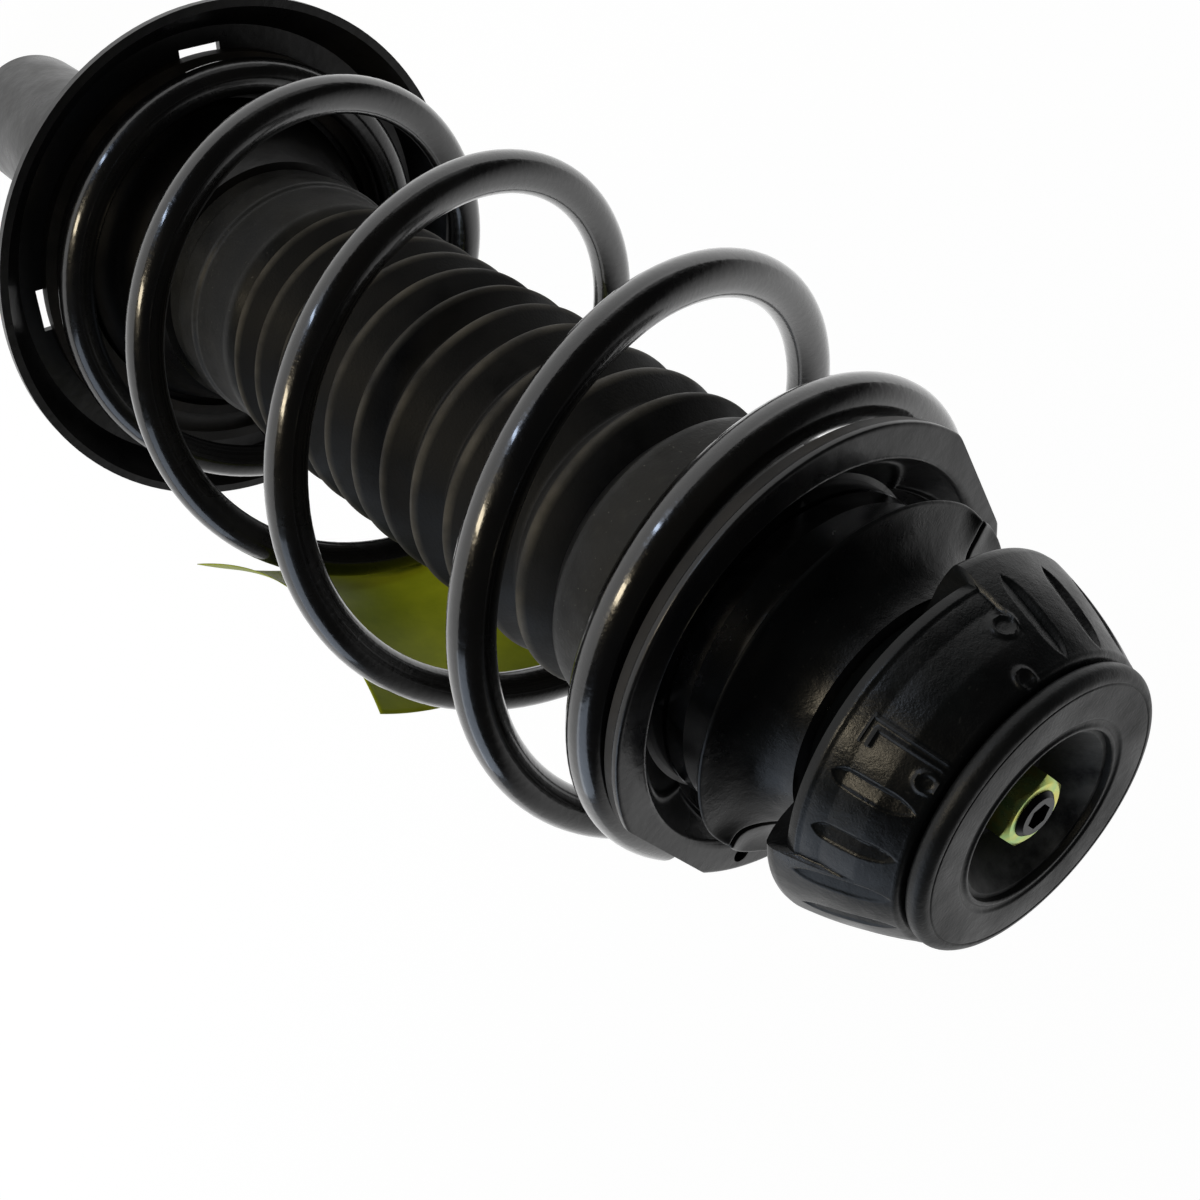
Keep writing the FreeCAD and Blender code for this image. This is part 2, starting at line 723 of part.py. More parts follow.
def steering_bearing():
    """Two pressed races, the ball cage and the balls that let the spring turn under the mount."""
    grip = ball_radius + running_fit
    half_gap = race_gap / 2
    race_height = (bearing_height - race_gap) / 2
    mouth = root(grip * grip - half_gap * half_gap)
    turned_body("bearing_lower_race", plate_floor_height, [
        (bearing_inner_radius, NONE),
        (bearing_outer_radius, NONE),
        (bearing_outer_radius, race_height),
        (ball_circle + mouth, race_height, grip),
        (ball_circle - mouth, race_height),
        (bearing_inner_radius, race_height),
    ])
    turned_body("bearing_upper_race", mount_height - race_height, [
        (bearing_inner_radius, NONE),
        (ball_circle - mouth, NONE, grip),
        (ball_circle + mouth, NONE),
        (bearing_outer_radius, NONE),
        (bearing_outer_radius, race_height),
        (bearing_inner_radius, race_height),
    ])
    middle = plate_floor_height + bearing_height / 2
    cage = ring("bearing_cage", middle - cage_thickness / 2, ball_circle - cage_width / 2,
                ball_circle + cage_width / 2, cage_thickness)
    pocket = circles(cage, "XY_Plane", [(ball_circle, NONE)], grip + running_fit, "ball_pocket")
    repeated(cage, cut(cage, pocket, both_ways=True), ball_count)

    balls = []
    for index in range(int(ball_count.value)):
        turn = Size(WHOLE_TURN * index / ball_count.value, f"({WHOLE_TURN * index} / {ball_count.formula})")
        across, along = polar(ball_circle, turn)
        ball = document.addObject("Part::Sphere", "ball")
        ball.setExpression("Radius", ball_radius.formula)
        ball.setExpression("Placement.Base.x", across.formula)
        ball.setExpression("Placement.Base.y", along.formula)
        balls.append(ball)
    group = document.addObject("Part::Compound", "bearing_balls")
    group.Label = "bearing_balls"
    group.Links = balls
    group.setExpression("Placement.Base.y", (-axis_offset).formula)
    group.setExpression("Placement.Base.z", middle.formula)
    made.append(group)


def top_mount():
    """The steel core, the fluted rubber cone bonded to it and the trumpet collar at its foot."""
    bore = stud_radius + press_fit
    ring("rod_washer", rod_shoulder, bore, washer_radius, washer_thickness)
    turned_body("mount_core", mount_height, [
        (bore, NONE),
        (core_flange_radius, NONE),
        (core_flange_radius, core_flange_wall),
        (core_radius, core_flange_wall),
        (core_radius, core_height),
        (bore, core_height),
    ])

    well_floor = core_height - well_gap
    rubber = turned_body("mount_rubber", mount_height, [
        (core_radius + press_fit, core_flange_wall),
        (neck_radius, core_flange_wall),
        (neck_radius, shoulder_lift),
        (shoulder_radius, shoulder_lift, -shoulder_bend),
        (barrel_radius, barrel_lift - barrel_band / 2),
        (barrel_radius, barrel_lift + barrel_band / 2, -crown_bend),
        (crown_radius, crown_lift),
        (well_radius, crown_lift),
        (well_radius, well_floor),
        (core_radius + press_fit, well_floor),
    ])
    for half in range(2):
        start = flute_start.value + 180 * half
        flute = fluted(rubber, start)
        sector = flute_pitch.value * (flute_count.value - 1)
        repeated(rubber, flute, flute_count, sector)

    sleeve = neck_radius + press_fit
    turned_body("mount_collar", mount_height, [
        (sleeve, shoulder_lift - collar_sleeve_drop),
        (sleeve + collar_sleeve_wall, shoulder_lift - collar_sleeve_drop, collar_under_bend),
        (collar_lip_radius, collar_lift - collar_lip_wall),
        (collar_lip_radius, collar_lift, collar_sweep_radius),
        (collar_waist_radius, shoulder_lift),
        (sleeve, shoulder_lift),
    ])


def fluted(rubber, angle):
    """One leaf-shaped flute, pressed in along the slope between the cone's widest band and its crown."""
    before = volume_of(rubber)
    band_top = barrel_lift + barrel_band / 2
    across = ((barrel_radius + crown_radius) / 2 + flute_proud).value
    up = ((band_top + crown_lift) / 2).value
    lean = math.degrees(math.atan2((barrel_radius - crown_radius).value, (crown_lift - band_top).value))
    around = FreeCAD.Rotation(FreeCAD.Vector(0, 0, 1), angle)
    leaf = rubber.newObject("PartDesign::SubtractiveEllipsoid", "flute")
    leaf.setExpression("Radius1", (flute_length / 2).formula)
    leaf.setExpression("Radius2", flute_depth.formula)
    leaf.setExpression("Radius3", (flute_width / 2).formula)
    leaf.Placement = FreeCAD.Placement(
        around.multVec(FreeCAD.Vector(across, 0, up)),
        around * FreeCAD.Rotation(FreeCAD.Vector(0, 1, 0), -lean))
    if volume_of(rubber) >= before - 1e-6:
        raise ValueError("the flute cuts nothing")
    return leaf


def rebound_disc():
    """The dished disc over the mount, its rubber facing and the nut in its dish."""
    bore = stud_radius + press_fit
    base = mount_height + core_height
    face = disc_wall + dish_depth - disc_rubber
    steel_radius = disc_radius - disc_rubber
    slant = disc_wall / 2
    turned_body("rebound_disc", base, [
        (bore, NONE),
        (dish_floor_radius + slant, NONE),
        (dish_mouth_radius + slant, face - disc_wall),
        (steel_radius, face - disc_wall),
        (steel_radius, face),
        (dish_mouth_radius - slant, face),
        (dish_floor_radius, disc_wall),
        (bore, disc_wall),
    ])
    under = face - disc_wall
    edge = steel_radius + press_fit
    turned_body("rebound_disc_rubber", base, [
        (dish_mouth_radius, face),
        (edge, face),
        (edge, under),
        (steel_radius - disc_lip, under),
        (steel_radius - disc_lip, under - disc_lip_wall),
        (disc_radius, under - disc_lip_wall),
        (disc_radius, face + disc_rubber - (disc_radius - disc_face_radius)),
        (disc_face_radius, face + disc_rubber),
        (dish_mouth_radius, face + disc_rubber),
    ])

    nut = new_body("top_nut", nut_seat_height)
    pad(nut, hexagon(nut, nut_across_flats, "hexagon"), nut_height)
    cut(nut, circles(nut, "XY_Plane", [(NONE, NONE)], bore, "hole"), backwards=True)
    corner = nut_across_flats / math.sqrt(3)
    before = volume_of(nut)
    bevel_start = (nut_across_flats - nut_chamfer) / 2
    beyond = corner + nut_chamfer
    bevel = outline(nut, "XZ_Plane", [
        (bevel_start, nut_height),
        (beyond, nut_height - (beyond - bevel_start) * BEVEL_SLOPE),
        (beyond, nut_height + nut_chamfer),
        (bevel_start, nut_height + nut_chamfer),
    ], "bevel")
    groove = nut.newObject("PartDesign::Groove", "bevel_groove")
    groove.Profile = bevel
    groove.ReferenceAxis = (bevel, ["V_Axis"])
    groove.Angle = WHOLE_TURN
    if volume_of(nut) >= before - 1e-6:
        raise ValueError("the nut's bevel cuts nothing")


def knuckle_bracket():
    """The strap round the tube's foot, with two ears that take the knuckle and its bolts."""
    bracket = new_body("knuckle_bracket", bracket_height / -2)
    inner = tube_radius + press_fit
    outer = inner + bracket_wall
    slot = slot_width / 2
    ear = slot + bracket_wall
    tip = axis_offset + ear_reach
    throat = root(inner * inner - slot * slot)
    shoulder = root(outer * outer - ear * ear)
    sketch = outline(bracket, "XY_Plane", [
        (ear, tip),
        (slot, tip),
        (slot, throat, inner),
        (NONE, -inner, inner),
        (-slot, throat),
        (-slot, tip),
        (-ear, tip),
        (-ear, shoulder, -outer),
        (NONE, -outer, -outer),
        (ear, shoulder),
    ], "strap")
    pad(bracket, sketch, bracket_height)
    corners = edges_where(bracket, lambda edge: edge.BoundBox.YMin > tip.value - 0.01
                          and edge.BoundBox.ZLength < 0.01)
    fillet(bracket, corners, ear_corner)
    middle = bracket_height / 2
    bolts = [(axis_offset, middle - bolt_spacing / 2), (axis_offset, middle + bolt_spacing / 2)]
    cut(bracket, circles(bracket, "YZ_Plane", bolts, bolt_hole_radius, "bolt_holes"), both_ways=True)


def link_bracket():
    """The upright plate welded to the tube, with the hole for the stabiliser's drop link."""
    plate = new_body("stabiliser_bracket", link_plate_lift)
    hole_across = -(tube_radius + link_plate_reach)
    middle = link_plate_height / 2
    nose = link_nose_radius
    sketch = outline(plate, "XZ_Plane", [
        (-inner_radius, NONE),
        (-inner_radius, link_plate_height),
        (hole_across, middle + nose, -nose),
        (hole_across - nose, middle, -nose),
        (hole_across, middle - nose),
    ], "plate")
    pad(plate, sketch, link_plate_wall, both_ways=True)
    seat = circles(plate, "XY_Plane", [(NONE, NONE)], tube_radius + press_fit, "tube")
    cut(plate, seat, both_ways=True)
    hole = circles(plate, "XZ_Plane", [(hole_across, middle)], link_hole_radius, "hole")
    cut(plate, hole, both_ways=True)


def hose_bracket():
    """The level tab welded to the tube, with the hole for the brake hose's grommet."""
    tab = new_body("hose_bracket", clip_lift)
    hole_across = tube_radius + clip_reach
    half = clip_width / 2
    sketch = outline(tab, "XY_Plane", [
        (inner_radius, -half),
        (hole_across, -half, -half),
        (hole_across + half, NONE, -half),
        (hole_across, half),
        (inner_radius, half),
    ], "tab")
    pad(tab, sketch, clip_wall)
    seat = circles(tab, "XY_Plane", [(NONE, NONE)], tube_radius + press_fit, "tube")
    cut(tab, seat, both_ways=True)
    hole = circles(tab, "XY_Plane", [(hole_across, NONE)], clip_hole_radius, "hole")
    cut(tab, hole, both_ways=True)


def shaped(label, shape, height):
    """A part whose solid is set directly, placed on the strut's axis at a height."""
    feature = document.addObject("Part::Feature", label)
    feature.Label = label
    feature.Shape = shape
    feature.setExpression("Placement.Base.y", (-axis_offset).formula)
    feature.setExpression("Placement.Base.z", height.formula)
    made.append(feature)
    return feature


def ramp(turns):
    """A softly starting rise: near nothing below zero turns, and the turns themselves well above."""
    softness = leaving_softness.value
    return softness * math.log(1 + math.exp(turns / softness))


def coil_point(turns):
    """The wire's centre after some turns, counted from its upper end; zero height is the lower end."""
    total = coil_turns.value

    def drop(where):
        return ramp(where - flat_turns.value) - ramp(where - (total - flat_turns.value))

    fall = (drop(turns) - drop(0)) / (drop(total) - drop(0))
    from_end = min(turns, total - turns)
    widening = ramp(from_end - flat_turns.value / 2) / ramp(total / 2 - flat_turns.value / 2)
    end_radius = (upper_end_radius if turns < total / 2 else lower_end_radius).value
    radius = end_radius + (coil_radius.value - end_radius) * min(1, widening * widening_rate.value)
    angle = math.radians(coil_start_angle.value - WHOLE_TURN * turns)
    return FreeCAD.Vector(radius * math.cos(angle), radius * math.sin(angle),
                          spring_height.value * (1 - fall))


def tangent_arc(start, heading, end):
    """The arc from start to end that leaves along heading."""
    chord = end - start
    along = FreeCAD.Vector(chord).normalize()
    aside = heading - along * heading.dot(along)
    if aside.Length < 1e-9:
        return Part.LineSegment(start, end).toShape()
    aside.normalize()
    half_turn = math.acos(max(-1, min(1, heading.dot(along))))
    top = start + chord * 0.5 + aside * (chord.Length / 2 * math.tan(half_turn / 2))
    return Part.Arc(start, top, end).toShape()


def biarc(start, start_heading, end, end_heading):
    """Two arcs that meet smoothly, from one point and heading to another."""
    chord = end - start
    headings = start_heading + end_heading
    spread = 2 * (1 - start_heading.dot(end_heading))
    slope = chord.dot(headings)
    if spread < 1e-9:
        reach = chord.dot(chord) / (2 * slope)
    else:
        reach = (math.sqrt(slope * slope + spread * chord.dot(chord)) - slope) / spread
    joint = (start + start_heading * reach + end - end_heading * reach) * 0.5
    joint_heading = (joint - start - start_heading * reach).normalize()
    return [tangent_arc(start, start_heading, joint), tangent_arc(joint, joint_heading, end)]


def coil_spring():
    """The spring: one wire swept along quarter-turn biarcs, softly flattened at both ends."""
    steps = round(coil_turns.value * ARCS_PER_TURN)
    step = coil_turns.value / steps
    nudge = 1e-4

    def heading(turns):
        return (coil_point(turns + nudge) - coil_point(turns - nudge)).normalize()

    edges = []
    for index in range(steps):
        start = index * step
        end = start + step
        edges += biarc(coil_point(start), heading(start), coil_point(end), heading(end))
    path = Part.Wire(edges)
    section = Part.Wire([Part.makeCircle(wire_radius.value, coil_point(0), heading(0))])
    wire = path.makePipeShell([section], True, False)
    shaped("coil_spring", wire, lower_wire_height)

    per_turn = 72
    count = round(coil_turns.value * per_turn)
    points = [coil_point(coil_turns.value * index / count) for index in range(count + 1)]
    least = min(points[low].distanceToPoint(points[high])
                for low in range(count + 1)
                for high in range(low + per_turn // 2, count + 1))
    print(f"coil spring: least gap between turns {least - 2 * wire_radius.value:.2f} mm,"
          f" volume {wire.Volume:.0f} mm3,"
          f" section times length {math.pi * wire_radius.value ** 2 * path.Length:.0f} mm3")


def boot_loft(stations, inset):
    """A ruled loft through circles at (radius, height), drawn in by an inset."""
    rings = [Part.Wire([Part.makeCircle(radius - inset, FreeCAD.Vector(0, 0, height))])
             for radius, height in stations]
    return Part.makeLoft(rings, True, True)


def dust_boot():
    """The pleated boot over the rod, from its cuff under the upper seat to the lower seat's deck."""
    base = seat_height + seat_deck_lift + soft_gap
    top = plate_height - plate_floor_drop - soft_gap
    length = (top - base).value
    pleats = int(boot_pleats.value)
    first_crest = length - boot_upper_cuff.value
    growth = boot_pitch_growth.value
    span = first_crest - boot_lower_cuff.value
    pitch = (span - growth * (pleats - 1) * (pleats - 2) / 2) / (pleats - 1)
    crest = boot_crest_radius.value
    valley = boot_valley_radius.value
    half_crest = boot_crest_width.value / 2
    stations = [(boot_cuff_radius.value, length)]
    height = first_crest
    for pleat in range(pleats):
        below = pitch + growth * pleat
        stations.append((crest, height + half_crest))
        stations.append((crest, height - half_crest))
        if pleat < pleats - 1:
            stations.append((valley, height - below / 2 + half_crest / 2))
            stations.append((valley, height - below / 2 - half_crest / 2))
        height -= below
    last_crest = boot_lower_cuff.value
    stations.append((valley, last_crest - pitch / 2))
    stations.append((boot_lower_radius.value, last_crest - pitch))
    stations.append((boot_lower_radius.value, 0))
    outside = boot_loft(stations, 0)

    wall = boot_wall.value
    neck_floor = length - boot_neck_wall.value
    inner_stations = [(boot_cuff_radius.value, neck_floor)] + stations[1:-1]
    inner_stations.append((boot_lower_radius.value, -wall))
    inside = boot_loft(inner_stations, wall)
    neck = plate_neck_radius + plate_wall + soft_gap
    mouth = Part.makeCylinder(neck.value, length, FreeCAD.Vector(0, 0, length / 2))
    shaped("dust_boot", outside.cut(inside).cut(mouth), base)


def paper_tag():
    """The curled paper tag that clings to the spring by one upright edge."""
    tag = new_body("paper_tag", tag_height)
    touching = coil_radius + wire_radius + soft_gap
    near_across, near_along = polar(touching, tag_start_angle)
    far_across, far_along = polar(tag_end_radius, tag_end_angle)
    far_out_across, far_out_along = polar(tag_end_radius + tag_thickness, tag_end_angle)
    near_out_across, near_out_along = polar(touching + tag_thickness, tag_start_angle)
    sheet_plan = outline(tag, "XY_Plane", [
        (near_across, near_along, tag_curl_radius),
        (far_across, far_along),
        (far_out_across, far_out_along, -tag_curl_radius),
        (near_out_across, near_out_along),
    ], "plan")
    pad(tag, sheet_plan, tag_length)


damper_tube()
piston_and_rod()
bump_stop()
lower_seat()
upper_seat()
steering_bearing()
top_mount()
rebound_disc()
knuckle_bracket()
link_bracket()
hose_bracket()
coil_spring()
dust_boot()
paper_tag()

document.recompute()
for item in document.Objects:
    if "Invalid" in item.State or "Error" in item.State:
        raise ValueError(f"{item.Label} is {item.State}")
for item in made:
    if item.Shape.isNull() or not item.Shape.isValid():
        raise ValueError(f"{item.Label} has no valid solid")

os.makedirs("parts", exist_ok=True)
for item in made:
    item.Shape.exportStep(f"parts/{item.Label}.step")
print(f"{len(made)} pieces")
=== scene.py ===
import math

import bmesh
import bpy
import numpy as np
from mathutils import Matrix, Vector


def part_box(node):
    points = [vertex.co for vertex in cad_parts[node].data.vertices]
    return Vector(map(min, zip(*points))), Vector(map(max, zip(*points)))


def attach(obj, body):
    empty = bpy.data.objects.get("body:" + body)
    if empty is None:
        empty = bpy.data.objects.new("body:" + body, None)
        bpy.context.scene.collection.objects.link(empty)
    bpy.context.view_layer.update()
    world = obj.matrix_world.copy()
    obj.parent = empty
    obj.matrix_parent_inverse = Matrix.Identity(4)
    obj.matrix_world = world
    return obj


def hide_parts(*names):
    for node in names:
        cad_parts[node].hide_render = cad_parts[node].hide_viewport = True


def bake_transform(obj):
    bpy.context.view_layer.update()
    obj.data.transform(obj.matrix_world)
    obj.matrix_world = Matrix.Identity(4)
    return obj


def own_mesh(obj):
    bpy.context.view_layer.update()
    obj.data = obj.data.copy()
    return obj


# Front suspension strut, dressed for a studio picture. Pieces are drawn in millimetres and become mesh points
# in metres. The strut stands along Z, its axis is at y = AXIS_Y, and angles are degrees about that axis.

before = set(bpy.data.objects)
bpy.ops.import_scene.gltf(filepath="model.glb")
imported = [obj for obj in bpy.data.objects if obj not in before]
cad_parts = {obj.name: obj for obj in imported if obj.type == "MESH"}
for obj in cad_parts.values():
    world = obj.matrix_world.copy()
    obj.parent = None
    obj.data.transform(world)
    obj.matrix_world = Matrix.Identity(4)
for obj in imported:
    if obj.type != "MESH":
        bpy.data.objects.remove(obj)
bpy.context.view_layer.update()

MM = 0.001
AXIS_Y = -52.0
AXIS = (0, AXIS_Y * MM, 0)
WHOLE_TURN = 2 * math.pi
MATH = "ShaderNodeMath"
MERGED_WITHIN = 2e-6


# Nodes and meshes

def linear(colour):
    """An sRGB hex colour as the linear RGBA that the nodes use."""
    values = [int(colour[place:place + 2], 16) / 255 for place in (1, 3, 5)]
    return [v / 12.92 if v <= 0.04045 else ((v + 0.055) / 1.055) ** 2.4 for v in values] + [1.0]


def add_node(tree, kind, *values, out=0, wires=None, **settings):
    """Adds a node with its settings, feeds its inputs in order or by name, and gives one of its outputs."""
    made = tree.nodes.new(kind)
    for name, value in settings.items():
        setattr(made, name, value)
    for socket, value in [*enumerate(values), *(wires or {}).items()]:
        if isinstance(value, bpy.types.NodeSocket):
            tree.links.new(value, made.inputs[socket])
        elif value is not None:
            made.inputs[socket].default_value = value
    return made.outputs[out] if made.outputs else None


def new_piece(name, mesh):
    """An object at the origin with this mesh."""
    piece = bpy.data.objects.new(name, mesh)
    bpy.context.scene.collection.objects.link(piece)
    return piece


def shaded(mesh, corner=38):
    """Merges a mesh's doubles, turns its faces outwards, and smooths it up to a corner's angle."""
    shell = bmesh.new()
    shell.from_mesh(mesh)
    bmesh.ops.remove_doubles(shell, verts=shell.verts, dist=MERGED_WITHIN)
    bmesh.ops.recalc_face_normals(shell, faces=shell.faces)
    shell.to_mesh(mesh)
    shell.free()
    mesh.polygons.foreach_set("use_smooth", [True] * len(mesh.polygons))
    mesh.set_sharp_from_angle(angle=math.radians(corner))
    return mesh


def solid_from(name, points, faces):
    """A piece from points in millimetres, shaded smooth."""
    mesh = bpy.data.meshes.new(name)
    mesh.from_pydata([tuple(p) for p in np.asarray(points, float) * MM], [], faces)
    return new_piece(name, shaded(mesh))


def settled(piece):
    """The piece with its modifiers turned into plain mesh."""
    bpy.context.view_layer.update()
    evaluated = piece.evaluated_get(bpy.context.evaluated_depsgraph_get())
    piece.data = bpy.data.meshes.new_from_object(evaluated)
    piece.modifiers.clear()
    return piece


def dress(piece, material, body=None, replaces=()):
    """Gives a piece its material and its body, and hides the CAD nodes that it stands for."""
    piece.data.materials.clear()
    piece.data.materials.append(material)
    if replaces:
        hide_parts(*replaces)
    if body:
        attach(piece, body)
    return piece


def rounded(corners, steps=6):
    """A closed profile of (radius, height) corners. A third value is how far a corner's rounding reaches."""
    drawn = []
    for index, corner in enumerate(corners):
        here = np.array(corner[:2], float)
        if len(corner) < 3:
            drawn.append(here)
            continue
        before = np.array(corners[index - 1][:2], float) - here
        after = np.array(corners[(index + 1) % len(corners)][:2], float) - here
        start = here + before * min(corner[2] / np.linalg.norm(before), 0.49)
        end = here + after * min(corner[2] / np.linalg.norm(after), 0.49)
        for t in np.linspace(0, 1, steps):
            drawn.append((1 - t) ** 2 * start + 2 * t * (1 - t) * here + t * t * end)
    return np.array(drawn)


def bowed(start, end, swell, steps):
    """Points on a shallow arc from start to end that swells to the left of the way."""
    start, end = np.array(start, float), np.array(end, float)
    left = np.array([start[1] - end[1], end[0] - start[0]]) / np.linalg.norm(end - start)
    shares = np.linspace(0, 1, steps)
    return [tuple(start + (end - start) * t + left * swell * 4 * t * (1 - t)) for t in shares]


def turned(name, profile, around=240, warp=None):
    """A closed profile turned about the axis. A warp moves points given as angle, radius and height."""
    profile = np.array(profile, float)
    angles = np.linspace(0, WHOLE_TURN, around, endpoint=False)[:, None]
    radius = np.repeat(profile[None, :, 0], around, 0)
    height = np.repeat(profile[None, :, 1], around, 0)
    if warp:
        radius, height = warp(np.degrees(angles) + 0 * radius, radius, height)
    points = np.stack([radius * np.cos(angles), radius * np.sin(angles) + AXIS_Y, height], 2).reshape(-1, 3)
    count = len(profile)
    faces = []
    for turn in range(around):
        here, there = turn * count, (turn + 1) % around * count
        for place in range(count):
            beside = (place + 1) % count
            faces.append((here + place, there + place, there + beside, here + beside))
    return solid_from(name, points, faces)


def turned_from(angles, middle):
    """Angles measured from a middle, between -180 and 180 degrees."""
    return (angles - middle + 180) % 360 - 180


def cut_away(piece, cutters):
    """Takes cutters, each a bmesh shape in metres, out of the piece."""
    for number, shape in enumerate(cutters):
        mesh = bpy.data.meshes.new("cutter")
        bmesh.ops.recalc_face_normals(shape, faces=shape.faces)
        shape.to_mesh(mesh)
        shape.free()
        cutter = new_piece(f"cutter_{number}", mesh)
        opening = piece.modifiers.new("opening", "BOOLEAN")
        opening.operation = "DIFFERENCE"
        opening.solver = "EXACT"
        opening.object = cutter
        settled(piece)
        bpy.data.objects.remove(cutter)
    shaded(piece.data)
    return piece


def box_cutter(low, high, turn=0):
    """A box from two corners in millimetres about the strut's axis, turned about it."""
    shape = bmesh.new()
    bmesh.ops.create_cube(shape, size=1)
    middle = (Vector(low) + Vector(high)) / 2
    size = Vector(high) - Vector(low)
    place = (Matrix.Translation(AXIS) @ Matrix.Rotation(math.radians(turn), 4, "Z")
             @ Matrix.Translation(middle * MM) @ Matrix.Diagonal((*(size * MM), 1)))
    bmesh.ops.transform(shape, matrix=place, verts=shape.verts)
    return shape


def softened(node, name, width, corner=28):
    """A copy of a CAD node with its hard edges rounded."""
    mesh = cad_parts[node].data.copy()
    shell = bmesh.new()
    shell.from_mesh(mesh)
    bmesh.ops.remove_doubles(shell, verts=shell.verts, dist=MERGED_WITHIN)
    bmesh.ops.dissolve_limit(shell, angle_limit=math.radians(0.5), verts=shell.verts, edges=shell.edges)
    shell.to_mesh(mesh)
    shell.free()
    piece = new_piece(name, mesh)
    edges = piece.modifiers.new("edges", "BEVEL")
    edges.width = width * MM
    edges.segments = 3
    edges.limit_method = "ANGLE"
    edges.angle_limit = math.radians(corner)
    settled(piece)
    shaded(piece.data)
    return piece


# Geometry node trees

def new_tree(name, **inputs):
    """An empty geometry tree and its named inputs, each given by its socket's kind."""
    tree = bpy.data.node_groups.new(name, "GeometryNodeTree")
    tree.interface.new_socket("Geometry", in_out="INPUT", socket_type="NodeSocketGeometry")
    for label, kind in inputs.items():
        tree.interface.new_socket(label.replace("_", " "), in_out="INPUT", socket_type="NodeSocket" + kind)
    tree.interface.new_socket("Geometry", in_out="OUTPUT", socket_type="NodeSocketGeometry")
    given = tree.nodes.new("NodeGroupInput").outputs
    return tree, {socket.name.replace(" ", "_"): socket for socket in given}


def close_tree(tree, geometry, material):
    """Ends a tree: instances made real, shading smooth, material set."""
    real = add_node(tree, "GeometryNodeRealizeInstances", geometry)
    smooth = add_node(tree, "GeometryNodeSetShadeSmooth", real)
    coated = add_node(tree, "GeometryNodeSetMaterial", smooth, wires={"Material": material})
    add_node(tree, "NodeGroupOutput", coated)
    return tree


def grown(name, tree, **values):
    """Runs a tree with its named values and keeps the mesh that it makes."""
    piece = new_piece(name, bpy.data.meshes.new(name))
    modifier = piece.modifiers.new("grown", "NODES")
    modifier.node_group = tree
    for socket in tree.interface.items_tree:
        if socket.in_out == "INPUT" and socket.name.replace(" ", "_") in values:
            modifier[socket.identifier] = values[socket.name.replace(" ", "_")]
    piece.update_tag()
    return settled(piece)


def on_axis(tree, angle, radius, height):
    """The point at an angle, radius and height about the strut's axis."""
    cosine = add_node(tree, MATH, angle, operation="COSINE")
    sine = add_node(tree, MATH, angle, operation="SINE")
    across = add_node(tree, MATH, cosine, radius, operation="MULTIPLY")
    along = add_node(tree, MATH, sine, radius, AXIS[1], operation="MULTIPLY_ADD")
    return add_node(tree, "ShaderNodeCombineXYZ", across, along, height)


